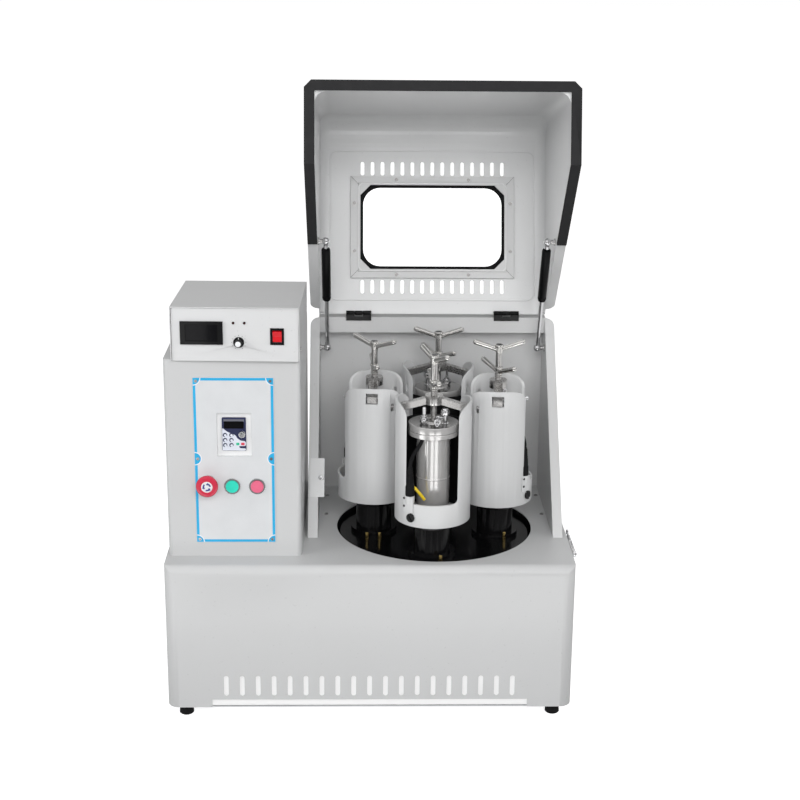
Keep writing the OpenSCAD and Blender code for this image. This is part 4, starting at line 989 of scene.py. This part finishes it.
for n in jar_numbers:
    piece(f"clamp_screw_{n}", clamp_screw(n), room_place(n), f"clamp_screw_{n}", "bright_steel", corner=60)
    # A black disc on the hub's top: the screw's dark end, with the shade inside the hub's bore painted on it
    # as black.
    cap = lathe([(0, -2), (6.9, -2), (6.9, 0.1), (6.2, 0.55), (0, 0.7)], 32)
    cap_place = room_place(n, wing_z[n - 1] + hub_h / 2 - 0.3)
    piece(f"screw_end_bore_shade_{n}", cap, cap_place, f"clamp_screw_{n}", "black_gloss")
print("thread turns on the tallest screw:", round((wing_z[0] - screw_foot) / screw_pitch))

# %% [markdown]
# ## Gas struts
# A gas strut is a black painted tube with a bright rod, and each end is a socket that snaps over a ball on a
# stud. The tube is up, so that the oil inside stays on the seal. Each solid is a plain tube with an eye. The
# meshes have the crimp, the seal cap and the sockets.

# %% Struts with ball joints
strut_low, strut_high = Vector((155, 613.3)), Vector((48, 847.7))
strut_len = (strut_high - strut_low).length
tube_start, tube_end, tube_r, rod_r = strut_len - 138.5, strut_len - 17, 8.5, 4.0
ball_r, stud_reach = 7.4, 15.0
along_y = turn(-90, "X")
up_strut = shift(0, strut_len, 0)


def ball_end(neck):
    """A bright ball socket on the origin with its neck along Z, as long as the number given."""
    ball = arc((0, 0), ball_r, -80, 60, 14)
    return lathe([(0, -ball_r + 0.1), *ball, (3.4, 6.9), (3.2, 8.4), (4.6, 9), (4.8, neck), (0, neck)], 32)


def wall_stud(side):
    """The stud's washer and nut against the wall, seen on a strut's pin whose ball is at the origin."""
    cone = turned([(6.6, 0), (6.6, 1.4), (4.9, 2.6), (4.9, 3.6), (3.6, 4.6), (3.6, 8)], 32)
    return moved(cone, shift(side * stud_reach, 0, 0), turn(-90 * side, "Y"))


def strut_tube_parts():
    low, high = tube_start, tube_end
    shell = [(rod_r + 0.4, low + 1), (rod_r + 0.4, low), (6.6, low), (7.4, low + 0.8), (7.4, low + 4.2),
        (tube_r, low + 5), (tube_r, low + 9), (tube_r - 0.5, low + 10), (tube_r, low + 11),
        (tube_r, high - 3), (tube_r - 1.2, high - 0.8), (5.2, high)]
    return moved(joined(turned(shell, 48), rod(4.2, high - 1, high + 5)), along_y)


sides = {"left": -1, "right": 1}
for label, side in sides.items():
    place = strut(side)
    rod_body, tube_body = f"strut_rod_{label[0]}", f"strut_tube_{label[0]}"
    bright = moved(lathe([(0, 9), (rod_r, 9), (rod_r, 131), (6.5, 131), (6.5, 132), (0, 132)], 32), along_y)
    rod_piece = piece(f"strut_rod_bright_{label}", bright, place, rod_body, "polished_chrome")
    piece(f"strut_low_ball_{label}", moved(ball_end(11), along_y), place, rod_body, "polished_chrome")
    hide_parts(f"strut_rod_{label}")
    shell = piece(f"strut_cylinder_{label}", strut_tube_parts(), place, tube_body, "strut_black")
    top_ball = moved(ball_end(14.5), up_strut, towards_front)
    piece(f"strut_top_ball_{label}", top_ball, place, tube_body, "polished_chrome")
    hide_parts(f"strut_tube_{label}")
    piece(f"strut_low_stud_{label}", wall_stud(side), place, "root", "polished_chrome")
    piece(f"strut_top_stud_{label}", wall_stud(side), place @ up_strut, "lid", "polished_chrome")
print("strut length pin to pin:", round(strut_len, 1))

# %% [markdown]
# ## The control panel
# The panel is a printed film with a blue border: a line along every edge, a quarter round in each corner and
# a half round at mid height, each about a screw. An image would blur when seen close, so the print is cut
# from sheets of its own colours that lie on the film.

# %% Printed border
panel_low, panel_high = box_of("control_panel")
panel_face, panel_rim = panel_low.y, 0.4
line_w, ink, ring_w = 4.8, 0.1, 1.6
corner_round, side_round, side_up = 12.5, 11.0, 4.6
border_blue = plastic("border_ink", (0.02, 0.42, 0.76), 0.3, 700.0, 0.000005)
white_ink = plastic("white_ink", (0.86, 0.87, 0.88), 0.4)
panel_place = shift(0, panel_face - 0.02, 0) @ towards_front
x0, x1 = panel_low.x + panel_rim, panel_high.x - panel_rim
z0, z1 = panel_low.z + panel_rim, panel_high.z - panel_rim
side_z = (panel_low.z + panel_high.z) / 2 + side_up
corner_spots = ((x0, z0, 0), (x1, z0, 90), (x1, z1, 180), (x0, z1, 270))
side_spots = ((x0, side_z, -90), (x1, side_z, 90))


def border_lines():
    """The four lines, drawn as (x, z)."""
    rows = [block((x0, z, 0), (x1, z + line_w, ink)) for z in (z0, z1 - line_w)]
    columns = [block((x, z0 + line_w, 0), (x + line_w, z1 - line_w, ink)) for x in (x0, x1 - line_w)]
    return joined(*rows, *columns)


def border_rounds(grow, height):
    """The quarter rounds in the corners and the half rounds at the sides, each grown by a width."""
    shapes = [arc((x, z), side_round + grow, start, start + 180, 24) for x, z, start in side_spots]
    for x, z, start in corner_spots:
        shapes.append([(x, z), *arc((x, z), corner_round + grow, start, start + 90, 16)])
    return joined(*(prism(shape, 0, height) for shape in shapes))


piece("panel_border", border_lines(), panel_place, "root", "panel_film", border_blue)
piece("panel_border_gaps", border_rounds(ring_w, ink + 0.06), panel_place, "root", "panel_film", white_ink)
piece("panel_border_rounds", border_rounds(0, ink + 0.12), panel_place, "root", "panel_film", border_blue)
print("panel:", round(panel_high.x - panel_low.x), "by", round(panel_high.z - panel_low.z), "mm")

# %% [markdown]
# The inverter's front shows through a window in the panel: a dark display over a soft white swoosh that
# carries six round keys, a silver knob, and a green and a red key. A key's dark rim is a ring that is open
# towards the lower right.

# %% The inverter's front
keypad_x, keypad_z, keypad_w, keypad_h = -268.0, 505.9, 43.4, 62.6
keypad_face = tower_low.y + 2
keypad_place = shift(keypad_x, keypad_face, keypad_z) @ towards_front


def round_plate(x, y, w, h, r, low, high):
    """A rectangle with round corners, raised from low to high."""
    x0, x1, y0, y1 = x + r, x + w - r, y + r, y + h - r
    corners = (((x1, y0), -90), ((x1, y1), 0), ((x0, y1), 90), ((x0, y0), 180))
    outline = [point for middle, start in corners for point in arc(middle, r, start, start + 90, 6)]
    return prism(outline, low, high)


tray_white = powder_coat("tray_white", (0.82, 0.825, 0.83), 0.4, 0.4)
navy = plastic("keypad_navy", (0.03, 0.035, 0.085), 0.35, shine=0.2)
smoke = plastic("display_smoke", (0.003, 0.003, 0.004), 0.12, 300.0, 0.000002, 0.08, 0.15)
swoosh_white = plastic("swoosh_white", (0.76, 0.79, 0.88), 0.35)
label_grey = plastic("keypad_label", (0.16, 0.165, 0.2), 0.35, shine=0.2)
# The run and stop keys get a painted glow as well; they are not lit.
key_green = lens("key_green", (0.05, 0.50, 0.30), 0.05)
key_red = lens("key_red", (0.72, 0.08, 0.12), 0.05)


def keypad_tray():
    """The recessed tray behind the cut-out: a floor close behind the panel, a back, and four walls."""
    left, low, floor_deep, deep, wall, plate = -11.5, -12.5, 4.5, 14, 3, 1.2
    right, high = left + keypad_w + 24.5, low + keypad_h + 25
    walls = (((left, low), (left + wall, high)), ((right - wall, low), (right, high)),
        ((left + wall, low), (right - wall, low + wall)), ((left + wall, high - wall), (right - wall, high)))
    plates = [block((left, low, -z), (right, high, plate - z)) for z in (floor_deep, deep)]
    return joined(*plates, *(block((*start, plate - deep), (*end, -0.1)) for start, end in walls))


tray = piece("keypad_tray", keypad_tray(), keypad_place, "root", "keypad_plastic", tray_white)
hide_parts("inverter_keypad")
swoosh_line = ((0.8, 0.8), (24, 0.8), (41, 0.8), (42, 4.4), (33, 5.2), (31, 9), (42, 10), (42, 17.5),
    (34, 19.5), (28, 23.5), (24.5, 29), (19, 32.6), (13, 34.6), (8, 37.4), (4, 40.8), (0.8, 41.2), (0.8, 20))
swoosh = [(point.x, point.y) for point in smoothed([(x, z, 0) for x, z in swoosh_line], 4)]
key_spots = [(5.6 + 11.3 * column, 11.2 + 9.5 * row) for column in (0, 1) for row in (0, 1, 2)]
crescent = arc((0, 0), 3.9, -20, 250, 22) + arc((0.5, -0.5), 2.3, 250, -20, 22)
key_cap = [(2.5, 0), (2.3, 1.2), (1.6, 1.5)]
keys = [moved(prism(crescent, 0, 1), shift(x, z, 0.25)) for x, z in key_spots]
caps = [moved(turned(key_cap), shift(x + 0.4, z - 0.4, 0.2)) for x, z in key_spots]
keypad_parts = (
    ("housing", round_plate(0, 0, keypad_w, keypad_h, 2, -36, 0), "keypad_plastic", navy, 0.6),
    ("display", round_plate(4, 42.5, keypad_w - 8, 13.5, 1, 0, 1.3), "black_gloss", smoke, 0.3),
    ("label", round_plate(3.2, 55.2, keypad_w - 6.4, 4.4, 0.6, 0, 0.5), "keypad_plastic", label_grey, 0),
    ("swoosh", prism(swoosh, 0, 0.35), "keypad_plastic", swoosh_white, 0),
    ("keys", joined(*keys), "keypad_plastic", navy, 0),
    ("key_caps", joined(*caps), "keypad_plastic", swoosh_white, 0),
    ("run_key", round_plate(25.4, 11, 5.6, 4.6, 1, 0, 1.5), "green_gloss", key_green, 0.3),
    ("stop_key", round_plate(34.2, 11, 6.2, 4.6, 1, 0, 1.5), "red_gloss", key_red, 0.3),
)
for label, drawing, slot_name, finish, edge in keypad_parts:
    piece(f"keypad_{label}", drawing, keypad_place, "root", slot_name, finish, edge=edge)
print("keys:", len(key_spots) + 2)

# %% [markdown]
# Fingers turn a knob by its flutes, which are a cosine on the radius here. The knob is a piece of its own on
# its own body.

# %% The keypad's knob


def fluted(radius, low, high, flutes, depth):
    """A knob with flutes round its side."""

    def side(shrink):
        return lambda t: radius - shrink - depth * (0.5 + 0.5 * math.cos(flutes * t))

    levels = ((0, low), (0, high - 0.8), (0.24, high - 0.24), (0.8, high))
    return skinned([around(side(shrink), z, flutes * 6) for shrink, z in levels])


knob_at = joint_at("keypad_knob_turn")
knob_place = shift(knob_at.x, keypad_face, knob_at.z) @ towards_front
silver = worked_steel("knob_silver", (0.66, 0.67, 0.68), 0.28, (60, 60, 60))
knob_top = lathe([(0, 6), (5.0, 6), (5.0, 7.3), (4.4, 7.8), (0, 7.9)], 32)
knob = joined(fluted(6.2, 0.4, 6.4, 18, 0.5), knob_top, rod(2, -8, 1))
knob_piece = piece("keypad_knob_silver", knob, knob_place, "keypad_knob_body", "knob_plastic", silver)
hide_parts("keypad_knob")
knob_mark = block((-0.5, 1.0, 7.8), (0.5, 4.6, 8.1))
piece("keypad_knob_mark", knob_mark, knob_place, "keypad_knob_body", "black_plastic")
print("knob at", [round(v, 1) for v in knob_at])

# %% [markdown]
# The emergency stop is a red mushroom that is turned to let it out again, which the three bent arrows on its
# white disc say. The solids of the two push buttons keep their shape.

# %% Emergency stop
estop_low, estop_high = box_of("estop_head")
estop_x, estop_z = (estop_low.x + estop_high.x) / 2, (estop_low.z + estop_high.z) / 2
estop_place = shift(estop_x, panel_face, estop_z) @ towards_front
disc_white = plastic("disc_white", (0.80, 0.81, 0.83), 0.3)
arrow_blue = plastic("arrow_blue", (0.02, 0.035, 0.22), 0.35)
head_profile = [(14.4, 12), (16, 12.6), (18, 14.6), (19.3, 17), (19.9, 19.6), (20, 21.6), (19.6, 23.4),
    (18.6, 24.8), (17, 25.6), (14.4, 25.95), (11.6, 26), (10.7, 25.8), (10.5, 25.1)]
mushroom = joined(turned(head_profile, 72), rod(7, -26, 13, 32))
head = piece("estop_mushroom", mushroom, estop_place, "estop_head_body", "red_gloss")
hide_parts("estop_head")
disc = turned([(10.3, 25), (10.3, 25.3), (10.0, 25.5)], 48)
piece("estop_disc", disc, estop_place, "estop_head_body", "red_gloss", disc_white)


def bent_arrow(start):
    """A third of a ring that ends in a point."""
    end = start + 62
    shaft = arc((0, 0), 7.6, start, end, 10) + arc((0, 0), 4.6, end, start, 10)
    tip = [(reach * math.cos(math.radians(t)), reach * math.sin(math.radians(t)))
        for reach, t in ((9.2, end), (6.1, start + 92), (3.0, end))]
    return joined(prism(shaft, 25.5, 25.62), prism(tip, 25.5, 25.63))


arrows = joined(*(bent_arrow(start) for start in (10, 130, 250)))
piece("estop_arrows", arrows, estop_place, "estop_head_body", "red_gloss", arrow_blue)
print("emergency stop at", round(estop_x, 1), round(estop_z, 1))

# %% [markdown]
# ## The power supply box
# The box's knob is black with flutes, a skirt and a white cap, over a dial of printed dots. The meter has a
# smoked window, and two small lamps, dark when off as here, sit above the knob.

# %% Knob, dial and meter window
box_face = power_box @ towards_front
knob_frame = power_box @ shift(6.7, 0, 34.4) @ towards_front
adjust_parts = (
    turned([(9.8, 0.4), (9.8, 1.0), (9.0, 2.4), (7.2, 3.2)], 48),
    fluted(6.6, 3, 14.2, 16, 0.55),
    rod(2.9, -10, 1),
)
adjust = piece("adjust_knob_fluted", joined(*adjust_parts), knob_frame, "adjust_knob_body", "black_plastic")
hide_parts("adjust_knob")
knob_cap = lathe([(0, 14), (5.0, 14), (5.0, 14.4), (4.6, 14.9), (0, 15)], 32)
piece("adjust_knob_cap", knob_cap, knob_frame, "adjust_knob_body", "panel_film", white_ink)
adjust_mark = block((-0.45, 4.4, 3.0), (0.45, 9.0, 3.3))
piece("adjust_knob_mark", adjust_mark, knob_frame, "adjust_knob_body", "panel_film", white_ink)
dot_turns = range(-60, 241, 30)
dots = [moved(rod(0.55, 0, 0.08, 12), turn(degrees, "Z"), shift(12.6, 0, 0)) for degrees in dot_turns]
piece("dial_dots", joined(*dots), knob_frame, "root", "black_plastic")
meter_glass = round_plate(-86.6, 37.2, 56.2, 29.2, 1, 2, 2.7)
piece("meter_window", meter_glass, box_face, "root", "black_gloss", smoke, edge=0.3)
lamp_off = lens("lamp_off", (0.05, 0.008, 0.008))
lamp_profile = [(0, 1.4), (1.7, 1.4), (1.5, 2.3), (0.8, 2.8), (0, 2.95)]
lamps = joined(*(moved(lathe(lamp_profile, 24), shift(x, 69.5, 0)) for x in (-2.4, 17.2)))
piece("indicator_lamps", lamps, box_face, "root", "black_gloss", lamp_off)
print("dial dots:", len(dot_turns))

# %% [markdown]
# ## Inside the hood
# The hood's skins are folded with a wide radius where they meet the side walls, which shows as a soft band
# along both edges. The solid has a sharp corner there, and a strip with a hollow face, carried along the
# skin's line, gives the band its real shape.

# %% Rounded inner corners
chamber_half, sheet = 224.0, 2.0
hood_front, bend_r, hood_low = -213.0, 62.0, 308.4
corner_r = 20.0


def skin_height(y, depth):
    """Height over a point of the hood's depth, so far under its outer top skin, with the hood shut."""
    return hood_rear_z + math.tan(hood_top_slope) * (hood_rear - y) - depth / math.cos(hood_top_slope)


def skin_line():
    """The inner skin from the front foot over the bend to the rear: (y, z) points and inward normals."""
    middle_y = hood_front + bend_r
    middle_z = skin_height(middle_y, bend_r + sheet)
    line = [((hood_front, z), (1, 0)) for z in (hood_low + 6, 420, middle_z - 1)]
    bend = arc((middle_y, middle_z), bend_r, 180, 90 - math.degrees(hood_top_slope), 24)
    line += [((y, z), ((middle_y - y) / bend_r, (middle_z - z) / bend_r)) for y, z in bend]
    down = (-math.sin(hood_top_slope), -math.cos(hood_top_slope))
    return line + [((y, skin_height(y, sheet)), down) for y in (-60, 60, hood_rear - 3)]


def corner_strip(side):
    """The strip in one corner: its section has its corner on the wall and skin and a hollow face between."""
    wall = turntable_axis.x + side * chamber_half
    section = [(-0.3, -0.3), *arc((corner_r, corner_r), corner_r, 180, 270, 9)]
    return skinned([[(wall - side * across, y + ny * inward, z + nz * inward) for across, inward in section]
        for (y, z), (ny, nz) in skin_line()])


for label, side in sides.items():
    piece(f"hood_corner_{label}", corner_strip(side), hood, "lid", "hood_paint", corner=60)
print("inner corner radius:", corner_r)

# %% [markdown]
# The window sits in a rubber gasket inside a frame of mitred steel channel. The mitres show as fine dark
# lines from corner to corner, and a raised bead runs round the frame between its screws and the window. A
# wider bead is pressed into the skin round the whole frame.

# %% Window gasket, beads and mitres
window_y, window_w, window_d, window_cut = 5.0, 288.0, 168.0, 20.0
frame_w, frame_d, frame_t, glass_t, gasket_w = 328.0, 204.0, 9.0, 5.0, 5.6
window_place = hood_top @ shift(0, window_y - hood_rear, 0)
frame_face = -sheet - frame_t


def cut_outline(grow, cut):
    """The window's outline grown by a width, its corners cut off."""
    x, y = (window_w + grow) / 2, (window_d + grow) / 2
    right_side = [(x - cut, -y), (x, cut - y), (x, y - cut), (x - cut, y)]
    return [(cut - x, -y), *right_side, (cut - x, y), (-x, y - cut), (-x, cut - y)]


def corner_outline(w, h, size, bulge=1):
    """A rectangle about the origin with its corners cut off straight at a bulge of 0 and rounded at 1."""
    x, y, steps = w / 2 - size, h / 2 - size, 8
    points = []
    for quarter, (sx, sy) in enumerate(((1, -1), (1, 1), (-1, 1), (-1, -1))):
        for k in range(steps + 1):
            t = math.radians(90 * (quarter - 1) + 90 * k / steps)
            straight = 1 / (abs(math.cos(t)) + abs(math.sin(t)))
            reach = size * (straight * (1 - bulge) + bulge)
            points.append((sx * x + reach * math.cos(t), sy * y + reach * math.sin(t)))
    return points


def frame_between(outer, inner, low, high):
    """A flat ring between two outlines with as many points, raised from low to high."""
    rings = ((outer, low), (inner, low), (inner, high), (outer, high))
    return skinned([[(x, y, z) for x, y in outline] for outline, z in rings], closed=True)


def mitre_line(sx, sy):
    """The joint of two frame sides: a fine line from the frame's corner to the window's."""
    start = Vector((frame_w / 2 - 0.5, frame_d / 2 - 0.5))
    end = Vector((window_w / 2 + 3.5, window_d / 2 + 1.0))
    along = (end - start).normalized()
    side = Vector((-along.y, along.x)) * 0.28
    outline = [(sx * p.x, sy * p.y) for p in (start - side, end - side, end + side, start + side)]
    return prism(outline, frame_face - 0.06, frame_face + 0.1)


pan_w, pan_d, pan_y, pan_edge = 412.0, 302.0, -4.0, 3.0
gasket_outer = corner_outline(window_w, window_d, window_cut, 0)
gasket_inner = corner_outline(window_w - 2 * gasket_w, window_d - 2 * gasket_w, 34)
gasket = frame_between(gasket_outer, gasket_inner, frame_face + 0.6, -sheet - glass_t)
lip = frame_between(cut_outline(0.6, window_cut), cut_outline(-5, window_cut - 1), -sheet, 0.9)
bead = frame_between(cut_outline(9, 7), cut_outline(5, 6), frame_face - 0.6, frame_face + 0.3)
pan_inner = corner_outline(pan_w - 2 * pan_edge, pan_d - 2 * pan_edge, 16 - pan_edge)
pan = frame_between(corner_outline(pan_w, pan_d, 16), pan_inner, -sheet - 1.8, -sheet + 0.2)
piece("window_gasket", gasket, window_place, "lid", "black_rubber", edge=0.9)
piece("window_outer_lip", lip, window_place, "lid", "black_rubber", edge=0.5)
piece("window_frame_bead", bead, window_place, "lid", "hood_paint", edge=0.25)
piece("hood_pan_bead", moved(pan, shift(0, pan_y, 0)), window_place, "lid", "hood_paint", edge=0.9)
mitres = joined(*(mitre_line(sx, sy) for sx in (-1, 1) for sy in (-1, 1)))
groove_dark = plastic("groove_dark", (0.10, 0.10, 0.10), 0.6)
piece("window_mitres", mitres, window_place, "lid", "hood_paint", groove_dark)
print("window opening:", window_w, "by", window_d)

# %% [markdown]
# The lock plate is let into the flange on the left and held by a bright lock screw. The latch's bracket on
# the right is plated. They are one solid of three pieces, so four meshes take its place: plate, screw,
# bracket, and the latch's pin with the bracket's rivets.

# %% Lock plate, lock and latch bracket
flange_foot, flange_head = Vector((-86, 303)), Vector((171, 671))
flange_run, flange_rise = flange_head - flange_foot
flange_tilt = math.degrees(math.atan2(flange_rise, flange_run))
flange = shift(0, *flange_foot) @ turn(flange_tilt, "X")
plate_x, plate_up = -115.0, 80.0
plate = round_plate(plate_x, plate_up, 27, 77, 1.2, -2.4, 0.2)
plate_piece = piece("lock_plate", plate, flange, "root", "hood_paint", edge=0.15)
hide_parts("lid_catches")
lock_head = turned([(5.5, -1), (5.5, 1.8), (4.8, 2.8), (3.6, 3.0), (3.4, 2.4)], 32)
lock = joined(lock_head, turned([(2.6, 0), (2.6, 6.4), (2.0, 7.2)]))
lock_place = flange @ shift(plate_x + 21, plate_up + 38, 0.2)
piece("lock_screw", lock, lock_place, "root", "polished_chrome")
latch_place = shift(375, -158, 299)
bracket_plate = block((0, -14, -50), (1.5, 14, 4))
rivet = [(3.4, 0), (3.2, 0.25), (1.6, 0.4)]
rivets = [moved(turned(rivet), shift(1.5, y, -38), towards_right) for y in (-7, 7)]
pin = moved(turned([(2.5, 0), (2.5, 8.6), (2.1, 9)], 32), towards_right)
piece("latch_bracket", bracket_plate, latch_place, "root", "zinc_plate", edge=0.4)
piece("latch_pin_and_rivets", joined(*rivets, pin), latch_place, "root", "zinc_plate")
print("lock plate tilt:", round(flange_tilt, 2))

# %% [markdown]
# Two small things show through and beside the solids: a pale sheet behind the base's vent slots and notch,
# which paints the light seen through them, and the bright pins that stand by the pedestals on the turntable.

# %% Pale sheet behind the slots, and pins
# Painted light: the sheet sits just behind the front sheet, so slots and notch read bright where the cabinet
# is dark inside.
slot_light_white = rubber("painted_slot_light", (0.93, 0.93, 0.93), 0.9, 900.0, 0.0)
cabinet_front = (base_low.y - base_middle.y) / mm
slot_light_sheet = block((-296, cabinet_front + 2.2, 28.3), (296, cabinet_front + 4.4, 96))
piece("painted_slot_light", slot_light_sheet, here, "root", "seal_foam", slot_light_white, edge=0.5)
brass = worked_steel("brass", (0.70, 0.52, 0.20), 0.25, (60, 60, 900))
pin_foot = 291.8
pin_spots = ((129, -186), (-6, -70), (18, -70), (256, -68))
pin_profile = [(0, 0), (3.4, 0), (3.4, 15), (2.6, 16.4), (0, 16.8)]
pins = joined(*(moved(lathe(pin_profile, 24), shift(x, y, pin_foot)) for x, y in pin_spots))
piece("turntable_pins", pins, here, "turntable_assembly", "pulley_alloy", brass)
print("pins:", len(pin_spots))

# %% [markdown]
# ## Size
# The finer meshes must not make the machine bigger than its solids, so both boxes are measured, and the
# growth along each axis is worked out in millimetres.

# %% Finish
dressed_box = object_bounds()
spans = [[high - low for low, high in zip(*box)] for box in (solid_box, dressed_box)]
grown = [round((after - before) * 1000, 2) for before, after in zip(*spans)]
